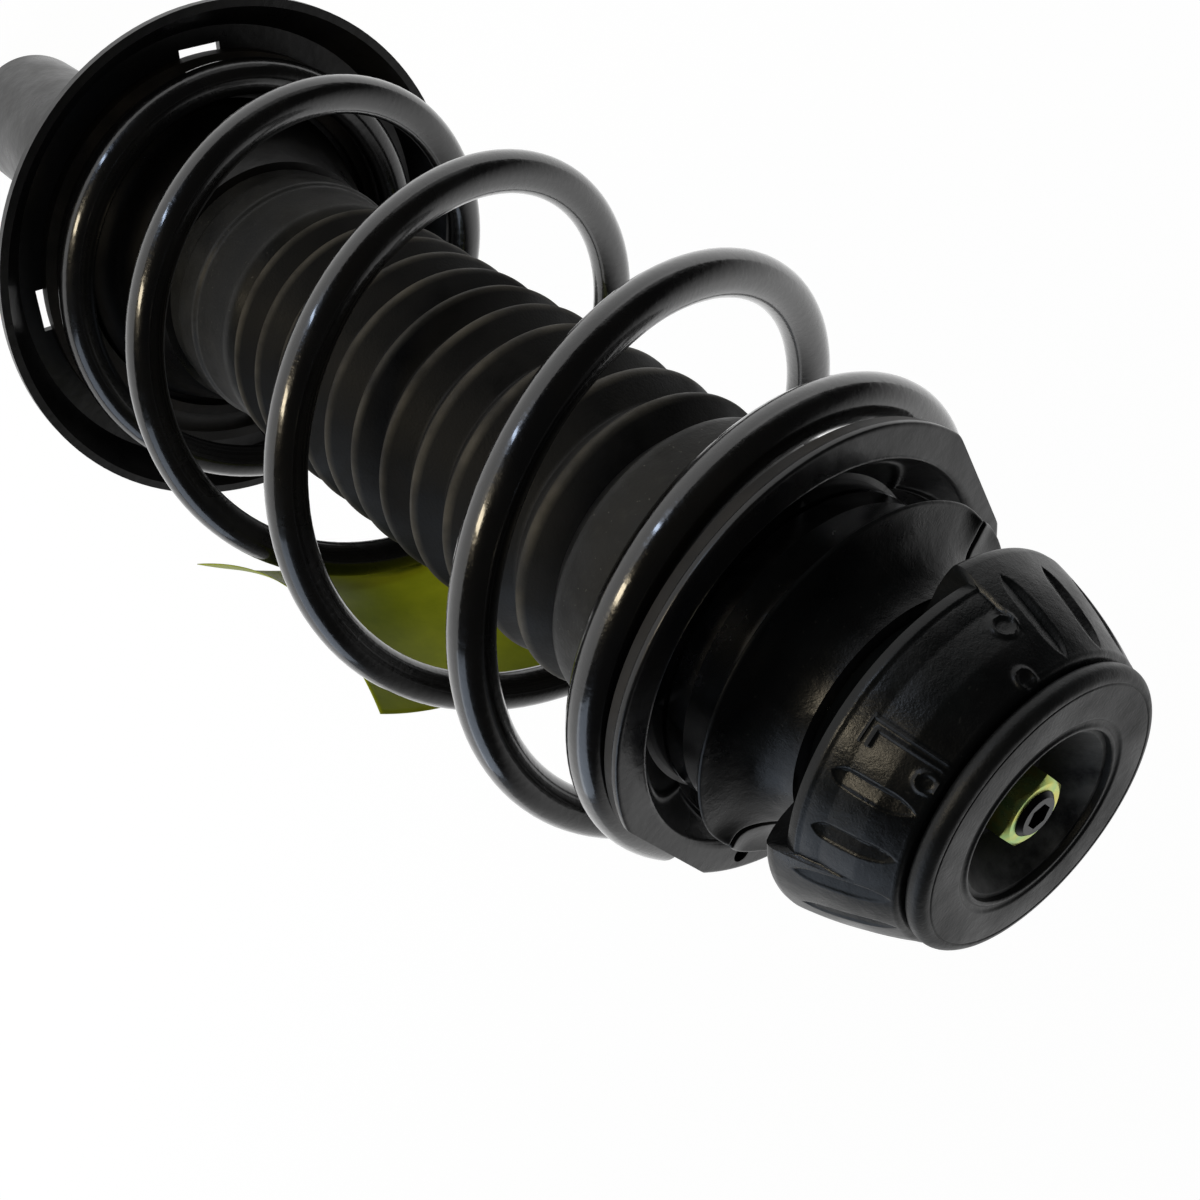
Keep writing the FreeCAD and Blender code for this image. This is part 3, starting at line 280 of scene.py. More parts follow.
def spring_tree():
    """One wire on a helix that lies flat at both ends, and widens as it leaves them."""
    tree, given = new_tree(
        "spring_wire", Turns="Float", Flat_turns="Float", Softness="Float", Coil_radius="Float",
        Upper_radius="Float", Lower_radius="Float", Widening_rate="Float", Height="Float", Foot="Float",
        First_angle="Float", Wire_radius="Float", Steps="Int", Material="Material")
    lying = add_node(tree, MATH, given["Turns"], given["Flat_turns"], operation="SUBTRACT")

    def ramp(turns):
        """Nothing below 0 turns, as much as the turns above, and a soft bend between."""
        eased = add_node(tree, MATH, turns, given["Softness"], operation="DIVIDE")
        swollen = add_node(tree, MATH, eased, operation="EXPONENT")
        raised = add_node(tree, MATH, swollen, 1.0, operation="ADD")
        bend = add_node(tree, MATH, raised, math.e, operation="LOGARITHM")
        return add_node(tree, MATH, bend, given["Softness"], operation="MULTIPLY")

    def drop(turns):
        """How far the wire has come down after some turns, before the whole is fitted to the height."""
        lifted = add_node(tree, MATH, turns, given["Flat_turns"], operation="SUBTRACT")
        landed = add_node(tree, MATH, turns, lying, operation="SUBTRACT")
        return add_node(tree, MATH, ramp(lifted), ramp(landed), operation="SUBTRACT")

    step = add_node(tree, "GeometryNodeInputIndex")
    walked = add_node(tree, MATH, step, given["Steps"], operation="DIVIDE")
    turns = add_node(tree, MATH, walked, given["Turns"], operation="MULTIPLY")
    first = drop(0.0)
    dropped = add_node(tree, MATH, drop(turns), first, operation="SUBTRACT")
    whole_drop = add_node(tree, MATH, drop(given["Turns"]), first, operation="SUBTRACT")
    fall = add_node(tree, MATH, dropped, whole_drop, operation="DIVIDE")
    left = add_node(tree, MATH, 1.0, fall, operation="SUBTRACT")
    height = add_node(tree, MATH, left, given["Height"], given["Foot"], operation="MULTIPLY_ADD")

    middle = add_node(tree, MATH, given["Turns"], 2.0, operation="DIVIDE")
    kept = add_node(tree, MATH, given["Flat_turns"], 2.0, operation="DIVIDE")
    to_go = add_node(tree, MATH, given["Turns"], turns, operation="SUBTRACT")
    from_end = add_node(tree, MATH, turns, to_go, operation="MINIMUM")
    past_seat = add_node(tree, MATH, from_end, kept, operation="SUBTRACT")
    most_past = add_node(tree, MATH, middle, kept, operation="SUBTRACT")
    widened = add_node(tree, MATH, ramp(past_seat), ramp(most_past), operation="DIVIDE")
    hastened = add_node(tree, MATH, widened, given["Widening_rate"], operation="MULTIPLY")
    share = add_node(tree, MATH, hastened, 1.0, operation="MINIMUM")
    upper_half = add_node(tree, MATH, turns, middle, operation="LESS_THAN")
    end = add_node(tree, "ShaderNodeMapRange", upper_half, 0.0, 1.0, given["Lower_radius"],
                   given["Upper_radius"])
    widening = add_node(tree, MATH, given["Coil_radius"], end, operation="SUBTRACT")
    radius = add_node(tree, MATH, widening, share, end, operation="MULTIPLY_ADD")
    angle = add_node(tree, MATH, turns, -WHOLE_TURN, given["First_angle"], operation="MULTIPLY_ADD")

    count = add_node(tree, MATH, given["Steps"], 1.0, operation="ADD")
    points = add_node(tree, "GeometryNodeMeshLine", wires={"Count": count})
    helix = add_node(tree, "GeometryNodeSetPosition", points, wires={
        "Position": on_axis(tree, angle, radius, height)})
    path = add_node(tree, "GeometryNodeMeshToCurve", helix)
    section = add_node(tree, "GeometryNodeCurvePrimitiveCircle", wires={
        "Resolution": 28, "Radius": given["Wire_radius"]})
    wire = add_node(tree, "GeometryNodeCurveToMesh", path, section, wires={"Fill Caps": True})
    return close_tree(tree, wire, given["Material"])


def pleat_tree():
    """A sleeve folded into pleats, each with straight flanks, a narrow round crest and a sharp valley."""
    tree, given = new_tree(
        "boot_pleats", Pleats="Float", Crest_radius="Float", Valley_radius="Float", Foot="Float",
        Height="Float", Crowding="Float", Around="Int", Along="Int", Material="Material")

    grid = add_node(tree, "GeometryNodeMeshGrid", 1.0, 1.0, given["Around"], given["Along"])
    place = add_node(tree, "GeometryNodeInputPosition")
    across = add_node(tree, "ShaderNodeSeparateXYZ", place)
    way_round = add_node(tree, MATH, across, 0.5, operation="ADD")
    angle = add_node(tree, MATH, way_round, WHOLE_TURN, operation="MULTIPLY")
    along = add_node(tree, "ShaderNodeSeparateXYZ", place, out=1)
    share = add_node(tree, MATH, along, 0.5, operation="ADD")

    counted = add_node(tree, MATH, share, given["Pleats"], operation="MULTIPLY")
    in_pleat = add_node(tree, MATH, counted, operation="FRACT")
    off_middle = add_node(tree, MATH, in_pleat, 0.5, operation="SUBTRACT")
    swing = add_node(tree, MATH, off_middle, operation="ABSOLUTE")
    crest = add_node(tree, MATH, swing, -2.0, 1.0, operation="MULTIPLY_ADD")
    dulled = add_node(tree, MATH, crest, 0.9, 0.14, operation="SMOOTH_MIN")
    depth = add_node(tree, MATH, given["Crest_radius"], given["Valley_radius"], operation="SUBTRACT")
    radius = add_node(tree, MATH, dulled, depth, given["Valley_radius"], operation="MULTIPLY_ADD")

    left = add_node(tree, MATH, 1.0, share, operation="SUBTRACT")
    hump = add_node(tree, MATH, share, left, operation="MULTIPLY")
    bend = add_node(tree, MATH, hump, given["Crowding"], operation="MULTIPLY")
    crowded = add_node(tree, MATH, share, bend, operation="ADD")
    height = add_node(tree, MATH, crowded, given["Height"], given["Foot"], operation="MULTIPLY_ADD")

    sleeve = add_node(tree, "GeometryNodeSetPosition", grid, wires={
        "Position": on_axis(tree, angle, radius, height)})
    seam = add_node(tree, "GeometryNodeMergeByDistance", sleeve, wires={"Distance": 1e-5})
    return close_tree(tree, seam, given["Material"])


# Finishes

def new_finish(name, roughness, metallic=0.0, colour="#808080", **sockets):
    """A material, its tree and its shader, with the values that are the same all over it."""
    material = bpy.data.materials.new(name)
    material.use_nodes = True
    tree = material.node_tree
    shader = tree.nodes["Principled BSDF"]
    shader.inputs["Base Color"].default_value = linear(colour)
    shader.inputs["Roughness"].default_value = roughness
    shader.inputs["Metallic"].default_value = metallic
    for socket, value in sockets.items():
        shader.inputs[socket.replace("_", " ")].default_value = value
    return material, tree, shader


def place_on_strut(tree):
    """Object coordinates measured from the strut's axis."""
    place = add_node(tree, "ShaderNodeTexCoord", out="Object")
    return add_node(tree, "ShaderNodeVectorMath", place, AXIS, operation="SUBTRACT")


def off_axis(tree, place, near, far):
    """Rises from 0 to 1 between two distances from the axis, in millimetres."""
    flat = add_node(tree, "ShaderNodeVectorMath", place, (1, 1, 0), operation="MULTIPLY")
    reach = add_node(tree, "ShaderNodeVectorMath", flat, operation="LENGTH", out="Value")
    return add_node(tree, "ShaderNodeMapRange", reach, near * MM, far * MM, 0.0, 1.0)


def patches(tree, place, size, low=0.0, high=1.0, edges=(0.35, 0.7), detail=4.0):
    """Runs between low and high in soft patches about so many millimetres across."""
    noise = add_node(tree, "ShaderNodeTexNoise", wires={
        "Vector": place, "Scale": 1 / (size * MM), "Detail": detail, "Roughness": 0.58})
    return add_node(tree, "ShaderNodeMapRange", noise, *edges, low, high)


def lay_colours(tree, shader, first, *layers):
    """Covers a first colour with further ones, each by its share."""
    colour = linear(first)
    for share, upper in layers:
        colour = add_node(tree, "ShaderNodeMix", data_type="RGBA", out=2,
                          wires={0: share, 6: colour, 7: linear(upper)})
    tree.links.new(colour, shader.inputs["Base Color"])


def press_in(tree, shader, *layers):
    """Presses height patterns into the surface, each to its depth in millimetres."""
    wires = {}
    for height, depth in layers:
        wires.update({"Height": height, "Distance": depth * MM})
        wires["Normal"] = add_node(tree, "ShaderNodeBump", wires=wires)
    tree.links.new(wires["Normal"], shader.inputs["Normal"])


def powder_coat():
    """Black polyester powder baked on spring wire: a deep gloss over an orange peel of about 2 mm with small
    dust nibs, so that lights break up along the wire."""
    material, tree, shader = new_finish("black_powder_coat", 0.26, Coat_Weight=0.9, Coat_Roughness=0.09,
                                        Specular_IOR_Level=0.42)
    place = place_on_strut(tree)
    lay_colours(tree, shader, "#070708", (patches(tree, place, 30), "#100f0d"))
    tree.links.new(patches(tree, place, 25, 0.2, 0.34), shader.inputs["Roughness"])
    press_in(tree, shader, (patches(tree, place, 2.2, detail=2.0, edges=(0.2, 0.8)), 0.07),
             (patches(tree, place, 0.8, detail=1.0, edges=(0.66, 0.8)), 0.025))
    return material


def electrocoat(name, colour, worn, roughness):
    """Black electrocoat on pressed steel: thin and satin, so the ripple of the pressing, rubbed patches and
    dust show through."""
    material, tree, shader = new_finish(name, roughness, Coat_Weight=0.1, Coat_Roughness=0.25,
                                        Specular_IOR_Level=0.42)
    place = place_on_strut(tree)
    dust = patches(tree, place, 0.4, 0.0, 0.35, edges=(0.7, 0.8), detail=1.0)
    lay_colours(tree, shader, colour, (patches(tree, place, 26), worn), (dust, "#4a4946"))
    tree.links.new(patches(tree, place, 24, roughness - 0.07, roughness + 0.12), shader.inputs["Roughness"])
    press_in(tree, shader, (patches(tree, place, 9, detail=2.0), 0.1),
             (patches(tree, place, 0.8, detail=2.0), 0.012))
    return material


def moulded_rubber(name, colour, bloom, roughness, grain=0.5, grain_depth=0.018, bloom_share=0.5):
    """Moulded natural rubber: near black, with a grey bloom in clouds, a skin grain and specks of dust. The
    grain is drawn several times as coarse as a mould's own, so that it shows."""
    material, tree, shader = new_finish(name, roughness, Specular_IOR_Level=0.27)
    place = place_on_strut(tree)
    clouds = patches(tree, place, 18, 0.0, bloom_share, edges=(0.42, 0.75))
    specks = patches(tree, place, 0.9, 0.0, 0.4, edges=(0.78, 0.84), detail=0.0)
    lay_colours(tree, shader, colour, (clouds, bloom), (specks, "#2e2e2c"))
    tree.links.new(patches(tree, place, 15, roughness - 0.06, roughness + 0.12), shader.inputs["Roughness"])
    press_in(tree, shader, (patches(tree, place, 7, detail=3.0), 0.08),
             (patches(tree, place, grain, detail=2.0), grain_depth))
    return material


def boot_skin():
    """Blow-moulded elastomer: matte brown-black, with the pleats' crests drawn pale, partly as dust rubbed
    into them
     and partly as a painted highlight along the crests.
    """
    material, tree, shader = new_finish("boot_elastomer", 0.62, Specular_IOR_Level=0.25)
    place = place_on_strut(tree)
    # Pale crests: partly dust, partly a painted highlight along each crest.
    crest_dust_and_highlight = add_node(tree, MATH, off_axis(tree, place, 43.7, 44.9), patches(tree, place, 16, 0.15, 0.75),
                      operation="MULTIPLY")
    lay_colours(tree, shader, "#0d0d0c", (patches(tree, place, 14), "#191816"), (crest_dust_and_highlight, "#605b50"))
    tree.links.new(patches(tree, place, 14, 0.5, 0.72), shader.inputs["Roughness"])
    press_in(tree, shader, (patches(tree, place, 0.8, detail=2.0), 0.03))
    return material


def cuff_skin():
    """The same elastomer on the boot's plain cuffs: greyer with bloom, scuffed, and flecked with dust."""
    material, tree, shader = new_finish("cuff_elastomer", 0.5, Specular_IOR_Level=0.3)
    place = place_on_strut(tree)
    flecks = patches(tree, place, 1.0, 0.0, 0.5, edges=(0.72, 0.82), detail=1.0)
    scuffs = patches(tree, place, 5, 0.0, 0.4, edges=(0.55, 0.75), detail=6.0)
    lay_colours(tree, shader, "#141413", (patches(tree, place, 24), "#24231f"), (scuffs, "#35342f"),
                (flecks, "#77746b"))
    tree.links.new(patches(tree, place, 14, 0.4, 0.6), shader.inputs["Roughness"])
    press_in(tree, shader, (patches(tree, place, 1.2, detail=3.0), 0.035))
    return material


def chromated_zinc():
    """Yellow chromate over zinc on a steel nut: a bright metal whose film drifts from yellow to green."""
    material, tree, shader = new_finish("yellow_chromated_zinc", 0.2, metallic=1.0)
    place = place_on_strut(tree)
    lay_colours(tree, shader, "#cfcc66", (patches(tree, place, 6, edges=(0.4, 0.6), detail=2.0), "#a4c67c"),
                (patches(tree, place, 4, 0, 0.5, edges=(0.5, 0.7)), "#d0b854"))
    tree.links.new(patches(tree, place, 5, 0.24, 0.4), shader.inputs["Roughness"])
    rings = add_node(tree, "ShaderNodeTexWave", wires={"Vector": place, "Scale": 100.0, "Distortion": 0.4},
                     wave_type="RINGS", rings_direction="Z")
    press_in(tree, shader, (rings, 0.008))
    return material


def phosphated_steel():
    """Zinc phosphate on pressed steel: grey-black crystals, with grey patches on the dish's wall that are
    partly dust
     lying in the dish and partly a painted sheen. The crystals are drawn half a millimetre across, much
     coarser than real ones, so that they show."""
    material, tree, shader = new_finish("phosphated_steel", 0.55, metallic=0.3, Specular_IOR_Level=0.4)
    place = place_on_strut(tree)
    dust = patches(tree, place, 10, 0.0, 0.8, edges=(0.4, 0.66))
    # Grey patches on the dish's wall: partly dust, partly a painted sheen.
    dust_and_sheen = add_node(tree, MATH, off_axis(tree, place, 14.5, 21.5), dust, operation="MULTIPLY")
    lay_colours(tree, shader, "#151617", (patches(tree, place, 0.6), "#252628"), (dust_and_sheen, "#666766"))
    press_in(tree, shader, (patches(tree, place, 0.5, detail=3.0), 0.02))
    return material


def turned_steel(name, colour, roughness, line=0.35, dull_above=None):
    """Turned steel with the tool's fine rings and a film of oil. Above a height it may be dull black oxide,
    as a hardened stud is."""
    material, tree, shader = new_finish(name, roughness, metallic=1.0, colour=colour)
    place = place_on_strut(tree)
    height = add_node(tree, "ShaderNodeSeparateXYZ", place, out=2)
    lines = add_node(tree, "ShaderNodeTexNoise", wires={"W": height, "Scale": 1 / (line * MM), "Detail": 2.0},
                     noise_dimensions="1D")
    press_in(tree, shader, (lines, 0.006))
    oiled = patches(tree, place, 12, roughness - 0.04, roughness + 0.1)
    if dull_above:
        stud = add_node(tree, "ShaderNodeMapRange", height, (dull_above - 0.5) * MM, dull_above * MM, 0.0,
                        1.0)
        lay_colours(tree, shader, colour, (stud, "#2c2d2e"))
        oiled = add_node(tree, "ShaderNodeMapRange", stud, 0.0, 1.0, oiled, 0.34)
    tree.links.new(oiled, shader.inputs["Roughness"])
    return material


def moulded_nylon():
    """Natural nylon: cream, slightly waxy, with a faint flow pattern."""
    material, tree, shader = new_finish("natural_nylon", 0.45, Subsurface_Weight=0.05)
    place = place_on_strut(tree)
    lay_colours(tree, shader, "#d3ccb4", (patches(tree, place, 8), "#bdb393"))
    press_in(tree, shader, (patches(tree, place, 0.4), 0.01))
    return material


def stop_foam():
    """Cellular polyurethane: matte and cream, with fine open pores, pressed in and drawn darker as painted
    shade in them.
    """
    material, tree, shader = new_finish("cellular_polyurethane", 0.85, Specular_IOR_Level=0.2)
    place = place_on_strut(tree)
    pores = add_node(tree, "ShaderNodeTexVoronoi", wires={"Vector": place, "Scale": 1 / (1.1 * MM)})
    # The pores' darker colour is painted shade inside them.
    painted_pore_shade = add_node(tree, "ShaderNodeMapRange", pores, 0.0, 0.5, 1.0, 0.0)
    lay_colours(tree, shader, "#c0b078", (painted_pore_shade, "#8d7c48"),
                (patches(tree, place, 15, 0, 0.3), "#6f6443"))
    press_in(tree, shader, (pores, 0.15))
    return material


def label_paper():
    """Coated yellow-green paper: flat and bright, with a faint fibre, handling smears and a soft sheen. The
    fibre is drawn coarser than real, so that it shows."""
    material, tree, shader = new_finish("coated_label_paper", 0.5, Specular_IOR_Level=0.35)
    place = place_on_strut(tree)
    fibre = patches(tree, place, 1.6, 0.0, 0.25, edges=(0.6, 0.8), detail=5.0)
    lay_colours(tree, shader, "#b3bd22", (patches(tree, place, 20), "#98a418"), (fibre, "#7d8618"))
    press_in(tree, shader, (fibre, 0.02))
    return material


powder = powder_coat()
enamel = electrocoat("black_electrocoated_steel", "#0b0b0d", "#151412", 0.34)
plate_enamel = electrocoat("black_electrocoated_plate", "#0c0d10", "#141312", 0.3)
cone_rubber = moulded_rubber("natural_rubber_mount", "#08090a", "#15191a", 0.31)
collar_rubber = moulded_rubber("natural_rubber_collar", "#08090a", "#15181a", 0.31, bloom_share=0.4)
disc_rubber = moulded_rubber("natural_rubber_facing", "#101112", "#2a2c2d", 0.42, grain=0.7, grain_depth=0.03)
pad_rubber = moulded_rubber("natural_rubber_pad", "#151310", "#2c2721", 0.5, bloom_share=0.8)
boot_rubber = boot_skin()
cuff_rubber = cuff_skin()
zinc = chromated_zinc()
phosphate = phosphated_steel()
turned_bright = turned_steel("turned_steel", "#8f9092", 0.34)
ground = turned_steel("ground_bearing_steel", "#a9aaac", 0.2, line=0.2)
chrome = turned_steel("hard_chrome_and_oxide", "#c9cacc", 0.09, line=0.15, dull_above=505)
bronze = turned_steel("sintered_bronze", "#8a6a35", 0.42)
nylon = moulded_nylon()
foam = stop_foam()
paper = label_paper()

NODE_FINISHES = {
    enamel: "reservoir_tube base_cup top_cap lower_seat_dome lower_spring_seat knuckle_bracket "
            "stabiliser_bracket hose_bracket",
    plate_enamel: "upper_spring_seat",
    pad_rubber: "rod_seal lower_isolator upper_isolator",
    cone_rubber: "mount_rubber",
    collar_rubber: "mount_collar",
    disc_rubber: "rebound_disc_rubber",
    foam: "bump_stop",
    ground: "bearing_lower_race bearing_upper_race bearing_balls",
    nylon: "bearing_cage piston_band",
    turned_bright: "base_valve pressure_tube rod_guide rod_washer mount_core piston piston_nut rebound_stop",
    phosphate: "rebound_disc",
    chrome: "piston_rod",
    bronze: "guide_bush",
    zinc: "top_nut",
    paper: "paper_tag",
    powder: "coil_spring",
    boot_rubber: "dust_boot",
}
for material, names in NODE_FINISHES.items():
    for name in names.split():
        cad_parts[name].data.materials.clear()
        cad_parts[name].data.materials.append(material)


# Spring

LOWER_WIRE, UPPER_WIRE = 159.3, 456.3

wire = grown("coil_spring_wire", spring_tree(), Turns=4.9, Flat_turns=0.885, Softness=0.296,
             Coil_radius=76.5 * MM, Upper_radius=60 * MM, Lower_radius=68.5 * MM, Widening_rate=2.1,
             Height=(UPPER_WIRE - LOWER_WIRE) * MM, Foot=LOWER_WIRE * MM, First_angle=math.radians(8.6),
             Wire_radius=6.25 * MM, Steps=540, Material=powder)
dress(wire, powder, replaces=["coil_spring"])
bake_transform(wire)


# Dust boot: pleats between two plain cuffs

PLEAT_FOOT, PLEAT_TOP = 233.5, 411.3
CUFF_TOP = 451.5

pleats = grown("dust_boot_pleats", pleat_tree(), Pleats=11.0, Crest_radius=45.6 * MM,
               Valley_radius=38.6 * MM, Foot=PLEAT_FOOT * MM, Height=(PLEAT_TOP - PLEAT_FOOT) * MM,
               Crowding=-0.12, Around=241, Along=313, Material=boot_rubber)
dress(pleats, boot_rubber, replaces=["dust_boot"])
upper_cuff = turned("dust_boot_upper_cuff", rounded([
    (38.0, PLEAT_TOP - 0.4), (39.2, PLEAT_TOP - 0.2), (44.2, PLEAT_TOP + 5.6, 0.5),
    (44.6, PLEAT_TOP + 7.4, 1.2), (44.3, 431, 3), (42.8, 440, 4), (41, CUFF_TOP, 1.2), (27.5, CUFF_TOP),
    (27.5, CUFF_TOP - 2), (39, CUFF_TOP - 2, 1), (40.8, 441, 2), (42.2, 430, 2), (42, PLEAT_TOP + 8, 1.5)]))
lower_cuff = turned("dust_boot_lower_cuff", rounded([
    (38.9, PLEAT_FOOT + 1), (42, PLEAT_FOOT - 2.5, 1.5), (42, 200, 1), (41.4, 187.4), (43.5, 187.4, 0.8),
    (43.5, 196, 0.8), (44.8, 197.5, 0.8), (44.8, 208, 0.8), (43.5, 209.5, 0.8), (43.5, PLEAT_FOOT - 3, 2),
    (40.4, PLEAT_FOOT + 1, 0.6)]))
for cuff in (upper_cuff, lower_cuff):
    dress(cuff, cuff_rubber)
for sleeve in (pleats, upper_cuff, lower_cuff):
    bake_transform(sleeve)


# Foam bump stop inside the boot

stop = turned("bump_stop_foam", rounded([
    (10.4, 399.1), (14, 399.1, 2), (15.7, 412, 3), (12.2, 415.6, 1.5), (15.7, 419, 3), (17.3, 428.5, 3),
    (13.8, 432.1, 1.5), (17.3, 435.6, 3), (19, 445, 3), (15.5, 448.6, 1.5), (19, 452, 3), (19, 465, 1.2),
    (10.4, 465)]))
dress(stop, foam, body="top_mount", replaces=["bump_stop"])
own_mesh(stop)


# Rubber cone of the mount: two smooth faces, and between them two fluted skirts

FLUTE_FIRST, FLUTE_PITCH, FLUTES_A_SIDE = -69.0, 18.0, 7
FLUTE_LOW, FLUTE_HIGH = 509.0, 529.0
FLUTE_HALF_WIDTH, FLUTE_DEPTH = 2.5, 1.2
# Across a flute: a steep wall, a floor that rises gently, and a low step
FLUTE_SECTION = ((-1, -0.5, 0.75, 1), (0, 1, 0.35, 0))

FACE_MIDDLE, FACE_HALF_ANGLE, FACE_EDGE = -85.5, 48.0, 0.5
FACE_LIFT, FACE_STEP_BACK, FACE_FLOOR = 4.4, 2.3, 506.2
SKIRT_FOOT, SKIRT_EDGE = 493, 502.5
FACE_LIFTED_TO, FACE_STEPPED_TO = 514, 522
SKIRT_RADIUS, CROWN_RADIUS = 49.3, 38.9

RIB_HEIGHT, RIB_HALF_WIDTH, BOSS_HALF_WIDTH = 0.55, 0.4, 0.6
RIB_RADIUS, BOSS_RADIUS = 44, 41
PRESSED_ABOVE, PRESSED_OUTSIDE = 504, 37
CROWN_LEAN = math.radians(22)


def raised_ribs(angles, height):
    """How high the moulded outline and the small round bosses stand on the smooth face, from 0 to 1.1."""
    upright = [(-85.0, 515.0, 529.8), (-87.4, 512.2, 529.8)]
    level = [(512.2, -87.4, -79.7), (515.0, -85.0, -79.7)]
    bosses = [(-79.4, 528.0, 2.1), (-122.8, 528.8, 2.1), (-129.8, 518.2, 2.4)]
    high = np.zeros_like(height)
    for middle, low, top in upright:
        line = np.exp(-(np.radians(turned_from(angles, middle)) * RIB_RADIUS / RIB_HALF_WIDTH) ** 2)
        high = np.maximum(high, line * ((height > low) & (height < top)))
    for middle, start, end in level:
        inside = (turned_from(angles, start) > 0) & (turned_from(angles, end) < 0)
        high = np.maximum(high, np.exp(-((height - middle) / RIB_HALF_WIDTH) ** 2) * inside)
    for middle, place, reach in bosses:
        ring = np.hypot(np.radians(turned_from(angles, middle)) * BOSS_RADIUS, height - place)
        high = np.maximum(high, 1.1 * np.exp(-((ring - reach) / BOSS_HALF_WIDTH) ** 2))
    return high


def flute_presses(angles, radius, height):
    """How deep the flutes press the cone: long grooves with a steep side and a soft one."""
    along = (height - (FLUTE_LOW + FLUTE_HIGH) / 2) / ((FLUTE_HIGH - FLUTE_LOW) / 2)
    half_width = FLUTE_HALF_WIDTH * np.clip(1 - along ** 4, 1e-6, None)
    press = np.zeros_like(radius)
    for side in (0, 180):
        for number in range(FLUTES_A_SIDE):
            middle = FLUTE_FIRST + side + number * FLUTE_PITCH
            away = np.radians(turned_from(angles, middle)) * radius / half_width
            dent = np.interp(away, FLUTE_SECTION[0], FLUTE_SECTION[1])
            press = np.maximum(press, dent * np.clip(1 - along ** 2, 0, 1) ** 0.5)
    return press * FLUTE_DEPTH


def shape_cone(angles, radius, height):
    """Steps the smooth faces back, lifts their lower edge to a floor, and presses in flutes and ribs."""
    from_face = np.minimum(np.abs(turned_from(angles, FACE_MIDDLE)),
                           np.abs(turned_from(angles, FACE_MIDDLE + 180)))
    face = np.clip((FACE_HALF_ANGLE - from_face) / FACE_EDGE, 0, 1)
    above_foot = height > SKIRT_FOOT
    outer = np.clip((radius - 36) / 6, 0, 1) * above_foot
    low = np.clip((FACE_STEPPED_TO - height) / 16, 0, 1)
    to_floor = (FACE_FLOOR - height) * np.clip((radius - 31) / 4, 0, 1) * above_foot
    lifted = np.where(height < SKIRT_EDGE, to_floor,
                      FACE_LIFT * np.clip((FACE_LIFTED_TO - height) / 10, 0, 1) * outer)
    press = np.where((radius > PRESSED_OUTSIDE) & (height > PRESSED_ABOVE),
                     flute_presses(angles, radius, height) - raised_ribs(angles, height) * RIB_HEIGHT, 0)
    return (radius - press * math.cos(CROWN_LEAN) - face * FACE_STEP_BACK * low * outer,
            height - press * math.sin(CROWN_LEAN) + face * lifted)


cone = turned("mount_cone", [
    (11.1, 471.1), (28.4, 471.1), (28.4, 492.5), (30.5, 495.6), (36, 497.2), (41, 498.4), (45, 499.8),
    (47.4, 500.9), (48.5, 501.5), (49.1, 502.1), (SKIRT_RADIUS, 502.8), (SKIRT_RADIUS, 503.6)]
    + bowed((SKIRT_RADIUS, 504.2), (CROWN_RADIUS, 529.2), -0.9, steps=58)
    + [(38.6, 529.9), (38.0, 530.3), (37.2, 530.5), (32, 530.4), (25.6, 530.2), (25, 529.4), (25, 519.1),
       (11.1, 519.1)], around=960, warp=shape_cone)
dress(cone, cone_rubber, body="top_mount", replaces=["mount_rubber"])


# Trumpet collar: a thin lip in two lobes, parted by moulding creases, and drawn in at the rear

CREASES = ((-178.0, 3.0), (-10.0, -5.0))
CREASE_HALF_WIDTH, UPTURN_HALF_WIDTH = 0.6, 5
CREASE_DEPTH, UPTURN_HEIGHT = 1.3, 1.8
REAR_MIDDLE, REAR_SPREAD, REAR_DRAWN_IN = 17.0, 20.0, 3.6
NECK_RADIUS, LIP_REACH = 34, 16


def shape_collar(angles, radius, height):
    """Waves the lip a little, turns it up at the two creases, cuts the creases from lip to neck, and draws
    the rear lobe in."""
    share = np.clip((radius - NECK_RADIUS) / LIP_REACH, 0, 1)
    wave = 0.3 * np.sin(np.radians(angles * 5 + 40)) + 0.18 * np.sin(np.radians(angles * 13 + 110))
    cut, upturn = np.zeros_like(radius), np.zeros_like(radius)
    for place, swing in CREASES:
        line = place + swing * (share - 1) + 1.2 * np.sin((radius - 33) / 2.6)
        away = np.radians(turned_from(angles, line)) * radius
        cut = np.maximum(cut, np.exp(-(away / CREASE_HALF_WIDTH) ** 2))
        upturn = np.maximum(upturn, np.exp(-(away / UPTURN_HALF_WIDTH) ** 2))
    drawn_in = REAR_DRAWN_IN * np.exp(-(turned_from(angles, REAR_MIDDLE) / REAR_SPREAD) ** 2)
    return (radius - 0.3 * share * cut - share ** 2 * drawn_in - share ** 2 * (0.9 * upturn - 0.3 * wave),
            height - CREASE_DEPTH * cut * np.clip(share * 5, 0, 1)
            + share ** 2 * (UPTURN_HEIGHT * upturn + 0.35 * wave + 0.3))


collar = turned("trumpet_collar", [(28.55, 482.2), (30.5, 482.2)]
                + bowed((30.6, 482.1), (50.2, 480.2), -0.8, steps=16)
                + [(50.55, 480.35), (50.7, 480.75), (50.5, 481.2)]
                + bowed((50.2, 481.4), (33.4, 493.9), 3.8, steps=56) + [(28.55, 494.05)],
                around=1080, warp=shape_collar)
dress(collar, collar_rubber, body="top_mount", replaces=["mount_collar"])


# Rubber facing of the rebound disc

facing = turned("disc_facing", rounded([
    (22.6, 534.5), (35.85, 534.45), (35.85, 531.95), (32.9, 531.9), (32.9, 531.0, 0.3), (36.4, 530.95, 1.0),
    (37.5, 532.0, 1.0), (37.5, 534.2, 1.2), (35.9, 535.9, 1.2), (34.6, 536.05, 0.3), (34.3, 535.75, 0.2),
    (34.0, 536.05, 0.2), (25.6, 536.05, 0.4), (25.1, 535.5, 0.4), (24.1, 535.5, 0.4), (23.5, 536.05, 0.3),
    (22.7, 535.9, 0.35)]), around=300)
dress(facing, disc_rubber, body="top_mount", replaces=["rebound_disc_rubber"])


# Upper seat plate: a rolled rim with two trimmed edges, a small hole, and a well with raised arches

